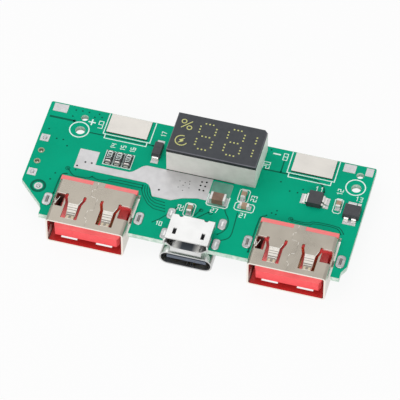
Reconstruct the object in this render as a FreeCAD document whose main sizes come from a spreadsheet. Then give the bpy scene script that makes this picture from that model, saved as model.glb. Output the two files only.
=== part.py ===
import FreeCAD, Part
import Sketcher
import math
import os

"""
A phone and battery charging module: one circuit board that carries two large square sockets,
a small trapezoid socket above the board, a flat oval socket below it and a three digit display.

X runs along the board, Y from the sockets to the battery plates, Z up from the surface on which
the module stands. The origin is at the centre of the outer box, on that surface.
The sockets, the display and the holes are symmetric about one line, the mid line.
"""

SIZES = {
    # circuit board
    "board_thick": 1.0,
    "board_raise": 3.12,
    "corner_round": 0.3,
    "tab_width": 1.5,
    "left_shoulder": 4.76,
    "left_shoulder_high": 6.3,
    "left_shoulder_low": 2.1,
    "shoulder_ease": 0.45,
    "right_shoulder": 0.7,
    "right_shoulder_high": 2.6,
    "land_thick": 0.05,
    # holes of the board
    "hole_pitch": 48.2,
    "hole_radius": 0.85,
    "hole_to_back": 4.95,
    "pilot_radius": 0.64,
    "pilot_to_back": 2.15,
    "lamp_hole_radius": 0.42,
    "lamp_hole_pitch": 2.4,
    "lamp_hole_edge": 1.32,
    "lamp_hole_front": 10.75,
    "lamp_ring": 0.56,
    "slot_clear": 0.15,
    # large square sockets
    "usb_pitch": 34.58,
    "usb_width": 13.35,
    "usb_height": 5.72,
    "usb_length": 9.8,
    "usb_wall": 0.3,
    "usb_round": 0.6,
    "usb_overhang": 1.95,
    "usb_side_gap": 0.325,
    "usb_back_gap": 0.3,
    "usb_leg_out": 1.275,
    "usb_leg_thick": 0.3,
    "usb_leg_wide": 1.3,
    "usb_leg_front": 5.3,
    "leg_above": 0.2,
    "usb_spring_pitch": 6.05,
    "usb_spring_root": 2.6,
    "usb_spring_waist": 1.8,
    "usb_spring_end": 1.4,
    "usb_spring_shoulder": 0.6,
    "usb_spring_long": 4.4,
    "usb_spring_drop": 0.75,
    "usb_spring_slit": 0.5,
    "usb_spring_front": 1.05,
    "usb_spring_clear": 0.15,
    "usb_spring_flat": 1.76,
    "usb_spring_tip": 0.7,
    "usb_spring_lift": 0.2,
    "usb_window_long": 2.7,
    "usb_window_wide": 1.9,
    "usb_window_deep": 1.4,
    "usb_back_step": 0.85,
    "usb_back_tab": 2.05,
    "usb_tongue_side": 0.7,
    "usb_tongue_thick": 1.84,
    "usb_tongue_front": 0.86,
    "usb_block_deep": 2.4,
    "usb_tongue_taper": 0.35,
    "usb_contact_wide": 1.0,
    "usb_contact_thick": 0.2,
    "usb_contact_front": 1.3,
    "usb_tail_long": 1.5,
    "usb_tail_land": 1.2,
    "usb_outer_pitch": 7.0,
    "usb_inner_pitch": 2.0,
    # small trapezoid socket above the board
    "micro_width": 7.3,
    "micro_height": 2.45,
    "micro_length": 5.1,
    "micro_wall": 0.25,
    "micro_corner": 1.0,
    "micro_overhang": 1.0,
    "micro_window_pitch": 4.85,
    "micro_window_wide": 0.6,
    "micro_window_long": 1.3,
    "micro_window_front": 1.0,
    "micro_notch_pitch": 4.3,
    "micro_notch_radius": 0.38,
    "micro_lip": 0.5,
    "micro_lip_rise": 0.35,
    "micro_lip_flare": 0.21,
    "micro_block": 1.4,
    "micro_tongue_wide": 3.5,
    "micro_tongue_thick": 0.6,
    "micro_tongue_front": 0.9,
    "micro_contact_pitch": 0.65,
    "micro_contact_wide": 0.25,
    "micro_contact_thick": 0.12,
    "micro_contact_front": 0.4,
    "micro_contact_count": 5,
    "micro_tail": 0.6,
    # flat oval socket below the board
    "oval_width": 9.06,
    "oval_height": 3.08,
    "oval_length": 7.71,
    "oval_wall": 0.26,
    "oval_overhang": 1.42,
    "oval_leg_thick": 0.25,
    "oval_leg_wide": 1.0,
    "oval_leg_front": 2.86,
    "oval_leg_back": 7.21,
    "oval_block": 2.0,
    "oval_tongue_wide": 6.7,
    "oval_tongue_thick": 0.7,
    "oval_tongue_front": 0.45,
    "oval_contact_count": 8,
    "oval_contact_pitch": 0.75,
    "oval_contact_wide": 0.3,
    "oval_contact_thick": 0.08,
    "oval_contact_front": 0.5,
    "oval_tail": 0.6,
    "oval_row_gap": 1.1,
    # display
    "display_length": 15.44,
    "display_depth": 8.3,
    "display_height": 4.7,
    "display_to_heat": 3.73,
    "display_to_back": 0.97,
    "cap_rim": 0.02,
    "cap_thick": 0.75,
    "cap_bevel": 0.12,
    "cap_key": 0.5,
    "lens_rise": 0.03,
    "lens_dot": 0.26,
    "dot_pitch": 0.63,
    "digit_width": 2.75,
    "digit_front": 1.4,
    "digit_back": 1.35,
    "digit_right": 1.32,
    "sign_room": 4.345,
    "sign_inset": 1.96,
    "ring_radius": 1.05,
    "ring_line": 0.17,
    "percent_ring": 0.4,
    "percent_reach": 0.58,
    "percent_slant": 0.88,
    "percent_line": 0.12,
    "percent_back": 2.33,
    "charge_front": 2.42,
    "bolt_high": 0.64,
    "bolt_reach": 0.52,
    "bolt_wide": 0.4,
    "bolt_waist": 0.17,
    "bolt_step": 0.13,
    "display_pin_radius": 0.25,
    "display_pin_pitch": 2.54,
    "display_pin_count": 5,
    "display_pin_back": 0.75,
    "display_pin_below": 0.6,
    "display_pin_deep": 1.5,
    "pin_solder_radius": 0.5,
    "pin_solder_high": 0.3,
    # bare tinned areas of the board
    "heat_left": 22.9,
    "heat_right": 0.5,
    "heat_to_socket": 6.9,
    "heat_strip": 1.45,
    "heat_ear_wide": 3.4,
    "heat_ear_deep": 4.25,
    "heat_bay_deep": 2.5,
    "heat_bay_long": 3.2,
    "heat_bay_step": 0.6,
    "heat_ramp": 4.2,
    "heat_right_step": 1.0,
    "heat_neck": 9.3,
    "heat_shoulder": 11.85,
    "heat_gap": 0.15,
    "back_land_deep": 1.72,
    "back_land_inset": 1.1,
    "left_land_long": 2.5,
    "left_land_inset": 1.92,
    "right_land_long": 2.1,
    "right_land_inset": 4.42,
    "end_land_long": 1.3,
    "end_land_inset": 1.0,
    "edge_land_side": 1.5,
    "edge_land_inset": 1.15,
    "edge_land_high": 15.93,
    "edge_land_low": 8.33,
    "round_land": 0.72,
    "round_land_inset": 3.05,
    "round_land_front": 5.65,
    # battery plates
    "plate_pitch": 32.35,
    "plate_width": 7.1,
    "plate_depth": 4.0,
    "plate_thick": 0.3,
    "plate_to_back": 0.25,
    # small chips in the standard case 1.6 by 0.8
    "chip_long": 1.6,
    "chip_wide": 0.8,
    "chip_cap": 0.35,
    "resistor_long": 2.5,
    "resistor_wide": 1.2,
    "resistor_cap": 0.35,
    "resistor_high": 0.5,
    "resistor_land_over": 0.15,
    "capacitor_high": 0.8,
    "land_over": 0.35,
    "resistor_pitch": 1.62,
    "resistor_left": 17.65,
    "resistor_behind": 2.05,
    "big_chip_long": 2.6,
    "big_chip_wide": 1.6,
    "big_chip_high": 1.15,
    "socket_capacitor_left": 1.64,
    "socket_capacitor_back": 3.2,
    "upright_capacitor_right": 6.35,
    "upright_capacitor_down": 2.23,
    "level_capacitor_right": 7.0,
    "level_capacitor_down": 4.48,
    "edge_capacitor_inset": 4.4,
    "large_capacitor_right": 2.4,
    "large_capacitor_down": 4.25,
    "under_capacitor_reach": 6.6,
    "under_capacitor_down": 2.0,
    # moulded packages
    "diode_long": 2.75,
    "diode_wide": 1.55,
    "diode_high": 1.05,
    "diode_lead_wide": 1.1,
    "diode_lead_reach": 0.55,
    "diode_land_over": 0.6,
    "diode_to_display": 2.39,
    "diode_up": 3.17,
    "mould_slope": 4.0,
    "switch_long": 2.8,
    "switch_wide": 2.45,
    "switch_high": 1.0,
    "switch_stand": 0.1,
    "lead_thick": 0.15,
    "lead_reach": 0.75,
    "lead_rise": 0.4,
    "lead_knee": 0.22,
    "lead_land_over": 0.45,
    "switch_inset": 8.42,
    "switch_down": 0.1,
    "guard_inset": 1.85,
    "guard_down": 1.13,
    "tab_lead_wide": 1.9,
    "power_lead_wide": 1.35,
    "power_lead_shift": 0.35,
    "signal_lead_wide": 0.45,
    "signal_lead_shift": 0.85,
    "front_lead_wide": 0.75,
    "front_lead_pitch": 1.3,
    # parts on the underside
    "coil_side": 6.0,
    "coil_round": 0.7,
    "coil_terminal": 0.07,
    "coil_terminal_wide": 2.6,
    "coil_terminal_long": 1.5,
    "coil_front": 0.85,
    "controller_long": 4.9,
    "controller_wide": 3.9,
    "controller_high": 1.45,
    "controller_offset": 2.6,
    "controller_behind": 2.3,
    "controller_lead_pitch": 1.27,
    "controller_lead_wide": 0.4,
    "controller_lead_count": 4,
    # solder
    "solder_rise": 0.18,
    "solder_ease": 0.14,
    "usb_solder_wide": 1.5,
    "usb_solder_long": 2.65,
    "oval_solder_wide": 1.35,
    "oval_solder_long": 2.3,
    "plug_radius": 0.38,
}


class Size:
    """A length kept twice: as an expression over the sheet's names, and as its present value."""

    def __init__(self, text, number):
        self.text = text
        self.number = number

    @staticmethod
    def of(value):
        return value if isinstance(value, Size) else Size(f"{value:g}", float(value))

    def join(self, sign, other, number):
        return Size(f"({self.text} {sign} {Size.of(other).text})", number)

    def __add__(self, other):
        return self.join("+", other, self.number + Size.of(other).number)

    def __sub__(self, other):
        return self.join("-", other, self.number - Size.of(other).number)

    def __mul__(self, other):
        return self.join("*", other, self.number * Size.of(other).number)

    def __truediv__(self, other):
        return self.join("/", other, self.number / Size.of(other).number)

    def __radd__(self, other):
        return Size.of(other) + self

    def __rsub__(self, other):
        return Size.of(other) - self

    def __rmul__(self, other):
        return Size.of(other) * self

    def __neg__(self):
        return Size(f"(0 - {self.text})", -self.number)


class Sheet:
    """The driving sizes, by name."""

    def __init__(self, document):
        table = document.addObject("Spreadsheet::Sheet", "sizes")
        for row, (name, number) in enumerate(SIZES.items(), start=1):
            table.set(f"A{row}", name)
            table.set(f"B{row}", str(number))
            table.setAlias(f"B{row}", name)
            setattr(self, name, Size(f"sizes.{name}", float(number)))


doc = FreeCAD.newDocument("charging_module")
s = Sheet(doc)
doc.recompute()

NOTHING = Size.of(0)
# What an even wall takes off along each side of a corner cut at 45 degrees.
MITRE = math.tan(math.pi / 8)
# Where the display's charging ring begins, how far it goes round, and its straight facets.
RING_BEGIN = math.radians(75)
RING_SWEEP = math.radians(265)
RING_FACETS = 14


def bind(thing, field, length):
    """Ties one field of an object to the sheet."""
    thing.setExpression(field, Size.of(length).text)


def put(thing, place):
    """Sets an object's place; every coordinate follows the sheet."""
    for axis, length in zip("xyz", place):
        bind(thing, f"Placement.Base.{axis}", length)


def new_body(name, place):
    made = doc.addObject("PartDesign::Body", name)
    made.Label = name
    put(made, place)
    return made


def new_sketch(owner, name, plane, offset=None):
    """A sketch on one of its body's origin planes, moved along the plane's normal by offset."""
    made = owner.newObject("Sketcher::SketchObject", f"{owner.Name}_{name}")
    origin = next(item for item in owner.Origin.OriginFeatures if item.Role == plane)
    made.AttachmentSupport = (origin, [""])
    made.MapMode = "FlatFace"
    if offset is not None:
        bind(made, "AttachmentOffset.Base.z", offset)
    return made


def tie(sketch, kind, geometry, point, length):
    """Fixes one distance of a sketch point from the sketch's origin."""
    datum = Size.of(length)
    index = sketch.addConstraint(Sketcher.Constraint(kind, -1, 1, geometry, point, datum.number))
    sketch.setExpression(f"Constraints[{index}]", datum.text)


def spot(across, up):
    return FreeCAD.Vector(Size.of(across).number, Size.of(up).number, 0)


def polygon(sketch, corners):
    """A closed outline of straight lines."""
    first = sketch.GeometryCount
    count = len(corners)
    for index in range(count):
        start = spot(*corners[index])
        end = spot(*corners[(index + 1) % count])
        sketch.addGeometry(Part.LineSegment(start, end), False)
    for index in range(count):
        after = first + (index + 1) % count
        sketch.addConstraint(Sketcher.Constraint("Coincident", first + index, 2, after, 1))
    for index, (across, up) in enumerate(corners):
        tie(sketch, "DistanceX", first + index, 1, across)
        tie(sketch, "DistanceY", first + index, 1, up)


def rectangle(sketch, centre, wide, high):
    """A rectangle about its centre."""
    left = centre[0] - wide / 2
    right = centre[0] + wide / 2
    low = centre[1] - high / 2
    top = centre[1] + high / 2
    polygon(sketch, [(left, low), (right, low), (right, top), (left, top)])


def circle(sketch, centre, radius):
    index = sketch.GeometryCount
    upward = FreeCAD.Vector(0, 0, 1)
    sketch.addGeometry(Part.Circle(spot(*centre), upward, radius.number), False)
    tie(sketch, "DistanceX", index, 3, centre[0])
    tie(sketch, "DistanceY", index, 3, centre[1])
    datum = sketch.addConstraint(Sketcher.Constraint("Radius", index, radius.number))
    sketch.setExpression(f"Constraints[{datum}]", radius.text)


def rounded(sketch, centre, wide, high, radius):
    """A rectangle about its centre with four round corners."""
    first = sketch.GeometryCount
    left = centre[0] - wide / 2
    right = centre[0] + wide / 2
    low = centre[1] - high / 2
    top = centre[1] + high / 2
    runs = [
        ((left + radius, low), (right - radius, low)),
        ((right, low + radius), (right, top - radius)),
        ((right - radius, top), (left + radius, top)),
        ((left, top - radius), (left, low + radius)),
    ]
    hubs = [
        (right - radius, low + radius),
        (right - radius, top - radius),
        (left + radius, top - radius),
        (left + radius, low + radius),
    ]
    upward = FreeCAD.Vector(0, 0, 1)
    for turn, (run, hub) in enumerate(zip(runs, hubs)):
        sketch.addGeometry(Part.LineSegment(spot(*run[0]), spot(*run[1])), False)
        curve = Part.Circle(spot(*hub), upward, radius.number)
        begin = (turn - 1) * math.pi / 2
        sketch.addGeometry(Part.ArcOfCircle(curve, begin, begin + math.pi / 2), False)
    for turn, hub in enumerate(hubs):
        line = first + 2 * turn
        after = first + (2 * turn + 2) % 8
        sketch.addConstraint(Sketcher.Constraint("Coincident", line, 2, line + 1, 1))
        sketch.addConstraint(Sketcher.Constraint("Coincident", line + 1, 2, after, 1))
        tie(sketch, "DistanceX", line, 1, runs[turn][0][0])
        tie(sketch, "DistanceY", line, 1, runs[turn][0][1])
        tie(sketch, "DistanceX", line, 2, runs[turn][1][0])
        tie(sketch, "DistanceY", line, 2, runs[turn][1][1])
        datum = sketch.addConstraint(Sketcher.Constraint("Radius", line + 1, radius.number))
        sketch.setExpression(f"Constraints[{datum}]", radius.text)


def pad(owner, sketch, length, turned=False, both=False):
    """Adds the sketch's outline, drawn out along the sketch's normal."""
    made = owner.newObject("PartDesign::Pad", f"{sketch.Name}_pad")
    made.Profile = sketch
    bind(made, "Length", length)
    made.Reversed = turned
    if both:
        made.SideType = "Symmetric"
    owner.Tip = made
    return made


def pocket(owner, sketch, length, turned=False, both=False):
    """Cuts the sketch's outline out, against the sketch's normal unless turned."""
    made = owner.newObject("PartDesign::Pocket", f"{sketch.Name}_cut")
    made.Profile = sketch
    bind(made, "Length", length)
    made.Reversed = turned
    if both:
        made.SideType = "Symmetric"
    owner.Tip = made
    return made


def dress(owner, kind, field, length, base, wanted):
    """A fillet or chamfer on the edges of base that wanted picks by the box around each."""
    doc.recompute()
    names = []
    for index, edge in enumerate(base.Shape.Edges, start=1):
        box = edge.BoundBox
        flat = FreeCAD.BoundBox(*[round(value, 4) for value in (
            box.XMin, box.YMin, box.ZMin, box.XMax, box.YMax, box.ZMax)])
        if wanted(flat):
            names.append(f"Edge{index}")
    made = owner.newObject(kind, f"{base.Name}_edges")
    made.Base = (base, names)
    bind(made, field, length)
    owner.Tip = made
    return made


def comb(name, place, outline, wide, pitch, count):
    """Equal bent strips side by side along X, all from one side view about the middle."""
    owner = new_body(name, place)
    side_view = new_sketch(owner, "side", "YZ_Plane", pitch * (1 - count) / 2)
    polygon(side_view, outline)
    strip = pad(owner, side_view, wide, both=True)
    row = owner.newObject("PartDesign::LinearPattern", f"{name}_row")
    row.Originals = [strip]
    along = next(item for item in owner.Origin.OriginFeatures if item.Role == "X_Axis")
    row.Direction = (along, [""])
    bind(row, "Length", pitch * (count - 1))
    bind(row, "Occurrences", count)
    owner.Tip = row
    return owner


def block(name, place, size):
    """A box from its lowest corner."""
    made = doc.addObject("Part::Box", name)
    made.Label = name
    for field, length in zip(("Length", "Width", "Height"), size):
        bind(made, field, length)
    put(made, place)
    return made


def post(name, place, radius, height):
    """An upright round rod from the centre of its lower face."""
    made = doc.addObject("Part::Cylinder", name)
    made.Label = name
    bind(made, "Radius", radius)
    bind(made, "Height", height)
    put(made, place)
    return made


def group(name, members):
    """Separate solids of one kind that share a node."""
    made = doc.addObject("Part::Compound", name)
    made.Label = name
    made.Links = members
    return made


NODES = []


def node(thing):
    NODES.append(thing)
    return thing


# Places that many pieces share. Lengths from the mid line are shifted by mid, and
# lengths from the board's front edge by front, into the part's own frame.
mid = (s.left_shoulder - s.right_shoulder) / 2
small_back = s.micro_length - s.micro_overhang
heat_front = small_back + s.heat_to_socket
display_front = heat_front + s.display_to_heat
board_depth = display_front + s.display_depth + s.display_to_back
front = -(board_depth - s.usb_overhang) / 2
back = front + board_depth
board_top = s.board_raise + s.board_thick
land_top = board_top + s.land_thick
land_under = s.board_raise - s.land_thick

usb_reach = s.usb_pitch / 2 + s.usb_width / 2 + s.usb_side_gap
usb_inner = s.usb_pitch / 2 - s.usb_width / 2 - s.usb_side_gap
cut_deep = s.usb_length - s.usb_overhang + s.usb_back_gap
tab_reach = usb_reach + s.tab_width
left_edge = -(tab_reach + s.left_shoulder)
right_edge = tab_reach + s.right_shoulder
usb_leg_line = s.usb_leg_front - s.usb_overhang
usb_leg_side = s.usb_width / 2 + s.usb_leg_out
usb_contact_low = land_under - s.usb_contact_thick
usb_tongue_low = usb_contact_low - s.usb_tongue_thick
oval_leg_lines = (s.oval_leg_front - s.oval_overhang, s.oval_leg_back - s.oval_overhang)
oval_leg_side = s.oval_width / 2 - s.oval_leg_thick / 2
digit_height = s.display_depth - s.digit_front - s.digit_back
pin_line = display_front + s.display_depth - s.display_pin_back
hole_line = board_depth - s.hole_to_back
pilot_line = board_depth - s.pilot_to_back


def circuit_board():
    """The board: two deep notches at its front, a sloped left corner, holes and leg slots."""
    owner = new_body("circuit_board", (mid, front, s.board_raise))
    outline = new_sketch(owner, "outline", "XY_Plane")
    polygon(outline, [
        (-tab_reach, NOTHING),
        (-usb_reach, NOTHING),
        (-usb_reach, cut_deep),
        (-usb_inner, cut_deep),
        (-usb_inner, NOTHING),
        (usb_inner, NOTHING),
        (usb_inner, cut_deep),
        (usb_reach, cut_deep),
        (usb_reach, NOTHING),
        (tab_reach, NOTHING),
        (tab_reach, s.right_shoulder_high / 2),
        (right_edge, s.right_shoulder_high),
        (right_edge, board_depth),
        (left_edge, board_depth),
        (left_edge, s.left_shoulder_high),
        (-tab_reach - s.shoulder_ease, s.left_shoulder_low),
        (-tab_reach, s.left_shoulder_low - s.shoulder_ease * 2),
    ])
    plate = pad(owner, outline, s.board_thick)
    limit = board_depth.number - s.corner_round.number
    dress(owner, "PartDesign::Fillet", "Radius", s.corner_round, plate,
          lambda box: box.ZLength > 0 and box.YLength == 0 and box.YMin > limit)
    holes = new_sketch(owner, "holes", "XY_Plane")
    for side in (-1, 1):
        circle(holes, (s.hole_pitch / 2 * side, hole_line), s.hole_radius)
        circle(holes, (s.hole_pitch / 2 * side, pilot_line), s.pilot_radius)
    for turn in range(2):
        height = s.lamp_hole_front + s.lamp_hole_pitch * turn
        circle(holes, (left_edge + s.lamp_hole_edge, height), s.lamp_hole_radius)
    pin_hole = s.display_pin_radius + s.slot_clear
    for place in display_pin_places():
        circle(holes, (place, pin_line), pin_hole)
    pocket(owner, holes, s.board_thick, turned=True)
    slots = new_sketch(owner, "leg_slots", "XY_Plane")
    for socket in (-1, 1):
        for side in (-1, 1):
            centre = (s.usb_pitch / 2 * socket + usb_leg_side * side, usb_leg_line)
            wide = s.usb_leg_thick + s.slot_clear * 2
            rectangle(slots, centre, wide, s.usb_leg_wide + s.slot_clear * 2)
    for side in (-1, 1):
        for line in oval_leg_lines:
            wide = s.oval_leg_thick + s.slot_clear * 2
            rectangle(slots, (oval_leg_side * side, line), wide, s.oval_leg_wide + s.slot_clear * 2)
    pocket(owner, slots, s.board_thick, turned=True)
    return owner


def display_pin_places():
    """The display's pins, evenly spaced about the mid line."""
    return spread(s.display_pin_pitch, s.display_pin_count)


def heat_area():
    """The large bare tinned area in front of the display that spreads the controller's heat."""
    owner = new_body("heat_area", (mid, front, board_top))
    outline = new_sketch(owner, "outline", "XY_Plane")
    left = -s.heat_left
    low = heat_front
    strip = low + s.heat_strip
    top = display_front - s.heat_gap
    bay = -usb_inner
    step = s.heat_bay_step
    bay_low = low - s.heat_bay_deep
    bay_end = bay + step * 3 + s.heat_bay_long
    right_low = low - s.heat_right_step
    polygon(outline, [
        (left, low),
        (bay, low),
        (bay + step, low - step / 2),
        (bay + step * 2, low - step * 2),
        (bay + step * 2.5, bay_low + step),
        (bay + step * 3, bay_low),
        (bay_end, bay_low),
        (bay_end + step * 3, bay_low + step * 1.5),
        (bay_end + s.heat_ramp, right_low),
        (s.heat_right, right_low),
        (s.heat_right, top),
        (left + s.heat_shoulder, top),
        (left + s.heat_shoulder - step, top - step / 2),
        (left + s.heat_neck + step, strip + step / 2),
        (left + s.heat_neck, strip),
        (left + s.heat_ear_wide, strip),
        (left + s.heat_ear_wide, low + s.heat_ear_deep),
        (left, low + s.heat_ear_deep),
    ])
    pad(owner, outline, s.land_thick)
    return owner


def edge_lands():
    """Middles of the two square lands and the round land at the left edge."""
    return [
        (left_edge + s.edge_land_inset, s.edge_land_high),
        (left_edge + s.edge_land_inset, s.edge_land_low),
        (left_edge + s.round_land_inset, s.round_land_front),
    ]


def solder_lands():
    """The bare tinned lands along the board's edges, each a thin plate of its own."""
    owner = new_body("solder_lands", (mid, front, board_top))
    outline = new_sketch(owner, "outline", "XY_Plane")
    back_line = board_depth - s.back_land_inset
    back_lands = [
        (left_edge + s.left_land_inset, s.left_land_long),
        (right_edge - s.right_land_inset, s.right_land_long),
        (right_edge - s.end_land_inset, s.end_land_long),
    ]
    for across, long in back_lands:
        rectangle(outline, (across, back_line), long, s.back_land_deep)
    upper, lower, disc = edge_lands()
    for centre in (upper, lower):
        rectangle(outline, centre, s.edge_land_side, s.edge_land_side)
    circle(outline, disc, s.round_land)
    pad(owner, outline, s.land_thick)
    return owner


def lamp_barrels():
    """The two plated barrels at the left edge that take a lamp's wires."""
    owner = new_body("lamp_barrels", (mid, front, s.board_raise - s.land_thick))
    rims = new_sketch(owner, "outline", "XY_Plane")
    places = [
        (left_edge + s.lamp_hole_edge, s.lamp_hole_front + s.lamp_hole_pitch * turn)
        for turn in range(2)
    ]
    bore = s.lamp_hole_radius - s.land_thick
    for place in places:
        circle(rims, place, s.lamp_hole_radius)
        circle(rims, place, bore)
    pad(owner, rims, s.board_thick + s.land_thick * 2)
    collars = new_sketch(owner, "collars", "XY_Plane", s.board_thick + s.land_thick)
    for place in places:
        circle(collars, place, s.lamp_ring)
        circle(collars, place, bore)
    pad(owner, collars, s.land_thick)
    return owner


def usb_shell(name, side):
    """The folded steel shell of a large socket: springs in its faces, windows and two legs."""
    centre = mid + s.usb_pitch / 2 * side
    owner = new_body(name, (centre, front - s.usb_overhang, s.usb_height / 2))
    tube = new_sketch(owner, "tube", "XZ_Plane")
    middle = (NOTHING, NOTHING)
    rounded(tube, middle, s.usb_width, s.usb_height, s.usb_round)
    inner_width = s.usb_width - s.usb_wall * 2
    inner_height = s.usb_height - s.usb_wall * 2
    rounded(tube, middle, inner_width, inner_height, s.usb_round - s.usb_wall)
    pad(owner, tube, s.usb_length, turned=True)

    steps = new_sketch(owner, "back_steps", "XY_Plane", s.usb_height / 2 - s.usb_round)
    reach = s.usb_width / 2
    for way in (-1, 1):
        polygon(steps, [
            (s.usb_back_tab / 2 * way, s.usb_length - s.usb_back_step),
            ((reach + s.usb_wall) * way, s.usb_length - s.usb_back_step),
            ((reach + s.usb_wall) * way, s.usb_length + s.usb_wall),
            (s.usb_back_tab / 2 * way, s.usb_length + s.usb_wall),
        ])
    pocket(owner, steps, s.usb_round, turned=True)

    spring_end = s.usb_spring_front + s.usb_spring_long + s.usb_spring_slit
    for face in (-1, 1):
        inside = s.usb_height / 2 - s.usb_wall
        word = "top" if face > 0 else "floor"
        beds = new_sketch(owner, f"{word}_beds", "XY_Plane", inside * face)
        ends = new_sketch(owner, f"{word}_slot_ends", "XY_Plane", inside * face)
        for way in (-1, 1):
            line = s.usb_spring_pitch / 2 * way
            polygon(beds, spring_bed(line, spring_end))
            for hand in (-1, 1):
                across = line + (s.usb_spring_root + s.usb_spring_slit) / 2 * hand
                circle(ends, (across, spring_end), s.usb_spring_slit / 2)
        pocket(owner, beds, s.usb_wall, turned=face > 0)
        pocket(owner, ends, s.usb_wall, turned=face > 0)
        for way in (-1, 1):
            word_side = "right" if way > 0 else "left"
            line = s.usb_spring_pitch / 2 * way
            usb_spring(owner, f"{word}_{word_side}", face, line, spring_end)

    windows = new_sketch(owner, "windows", "XY_Plane", s.usb_height / 2 - s.usb_window_deep)
    for way in (-1, 1):
        window_end = spring_end - s.usb_window_long
        polygon(windows, [
            ((reach - s.usb_window_wide) * way, window_end),
            ((reach + s.usb_wall) * way, window_end),
            ((reach + s.usb_wall) * way, spring_end),
            ((reach - s.usb_window_wide) * way, spring_end),
        ])
    pocket(owner, windows, s.usb_window_deep, turned=True)

    legs = new_sketch(owner, "legs", "XZ_Plane", -(s.usb_leg_front - s.usb_leg_wide / 2))
    under = s.board_raise - s.usb_height / 2
    leg_end = board_top + s.leg_above - s.usb_height / 2
    for way in (-1, 1):
        outer = usb_leg_side + s.usb_leg_thick / 2
        inner = outer - s.usb_leg_thick
        root = reach - s.usb_wall / 2
        polygon(legs, [
            (root * way, under - s.usb_leg_thick),
            (outer * way, under - s.usb_leg_thick),
            (outer * way, leg_end),
            (inner * way, leg_end),
            (inner * way, under),
            (root * way, under),
        ])
    pad(owner, legs, s.usb_leg_wide, turned=True)
    return owner


def spring_bed(line, root):
    """The opening around one spring: wide beside its root, narrower beside its bent part."""
    shoulder = root - s.usb_spring_shoulder
    bend = root - s.usb_spring_flat
    half_root = s.usb_spring_root / 2 + s.usb_spring_slit
    half_waist = s.usb_spring_waist / 2 + s.usb_spring_slit
    return [
        (line - half_root, root),
        (line - half_root, shoulder),
        (line - half_waist, bend),
        (line - half_waist, s.usb_spring_front),
        (line + half_waist, s.usb_spring_front),
        (line + half_waist, bend),
        (line + half_root, shoulder),
        (line + half_root, root),
    ]


def usb_spring(owner, word, face, line, root):
    """One spring tongue of a shell: bent into the opening, narrow at its tip."""
    outside = s.usb_height / 2 * face
    thick = s.usb_wall * face
    drop = s.usb_spring_drop * face
    if face < 0:
        drop = -(usb_tongue_low - s.usb_wall - s.usb_spring_clear)
    tip = s.usb_spring_front + s.usb_spring_slit
    bend = root - s.usb_spring_flat
    crest = tip + s.usb_spring_tip
    low = outside - drop
    end = low + s.usb_spring_lift * face
    half_root = s.usb_spring_root / 2
    half_waist = s.usb_spring_waist / 2
    half_end = s.usb_spring_end / 2
    side_view = new_sketch(owner, f"{word}_spring", "YZ_Plane", line - half_root)
    polygon(side_view, [
        (root, outside),
        (bend, outside),
        (crest, low),
        (tip, end),
        (tip, end - thick),
        (crest, low - thick),
        (bend, outside - thick),
        (root, outside - thick),
    ])
    pad(owner, side_view, s.usb_spring_root)
    trims = new_sketch(owner, f"{word}_trims", "XY_Plane", low - thick)
    for way in (-1, 1):
        polygon(trims, [
            (line + half_root * way, root - s.usb_spring_shoulder),
            (line + half_waist * way, bend),
            (line + half_end * way, tip - s.usb_spring_slit),
            (line + half_root * way, tip - s.usb_spring_slit),
        ])
    pocket(owner, trims, s.usb_spring_drop + s.usb_wall, turned=face > 0)


def usb_insert(name, side):
    """The red plastic core of a large socket: a block at the back and a tongue near the floor."""
    centre = mid + s.usb_pitch / 2 * side
    owner = new_body(name, (centre, front - s.usb_overhang, NOTHING))
    wide = s.usb_width - s.usb_wall * 2
    low = s.usb_wall
    top = s.usb_height - s.usb_wall
    start = s.usb_length - s.usb_block_deep
    gap = s.usb_round - s.usb_wall
    blank = new_sketch(owner, "block", "XZ_Plane", -start)
    rounded(blank, (NOTHING, s.usb_height / 2), wide, top - low, gap)
    pad(owner, blank, s.usb_block_deep, turned=True)

    reach = s.usb_width / 2 - s.land_thick
    ledges = new_sketch(owner, "ledges", "XY_Plane", s.usb_height - s.usb_round)
    for way in (-1, 1):
        polygon(ledges, [
            (s.usb_back_tab / 2 * way, s.usb_length - s.usb_back_step),
            (reach * way, s.usb_length - s.usb_back_step),
            (reach * way, s.usb_length),
            (s.usb_back_tab / 2 * way, s.usb_length),
        ])
    pad(owner, ledges, s.usb_round - s.land_thick)

    tongue = new_sketch(owner, "tongue", "XY_Plane", usb_tongue_low)
    half = wide / 2 - s.usb_tongue_side
    polygon(tongue, [
        (-half, start),
        (-half, s.usb_tongue_front + s.usb_tongue_taper * 2),
        (-half + s.usb_tongue_taper, s.usb_tongue_front),
        (half - s.usb_tongue_taper, s.usb_tongue_front),
        (half, s.usb_tongue_front + s.usb_tongue_taper * 2),
        (half, start),
    ])
    pad(owner, tongue, s.usb_tongue_thick)

    channels = new_sketch(owner, "channels", "XZ_Plane", -start)
    for place in usb_contact_places():
        rectangle(channels, (place, usb_contact_low + s.usb_contact_thick / 2),
                  s.usb_contact_wide, s.usb_contact_thick)
    pocket(owner, channels, s.usb_block_deep)
    return owner


def usb_contact_places():
    """Two wide set power contacts and two data contacts, about the socket's middle."""
    outer = s.usb_outer_pitch / 2
    inner = s.usb_inner_pitch / 2
    return [-outer, -inner, inner, outer]


def usb_contacts(name, side):
    """Four flat contacts on the tongue; their tails run out under the board."""
    centre = mid + s.usb_pitch / 2 * side
    start = s.usb_tongue_front + s.usb_contact_front
    members = []
    for turn, place in enumerate(usb_contact_places()):
        left = centre + place - s.usb_contact_wide / 2
        corner = (left, front - s.usb_overhang + start, usb_contact_low)
        long = s.usb_length + s.usb_tail_long - start
        size = (s.usb_contact_wide, long, s.usb_contact_thick)
        members.append(block(f"{name}_{turn}", corner, size))
    return group(name, members)


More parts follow.
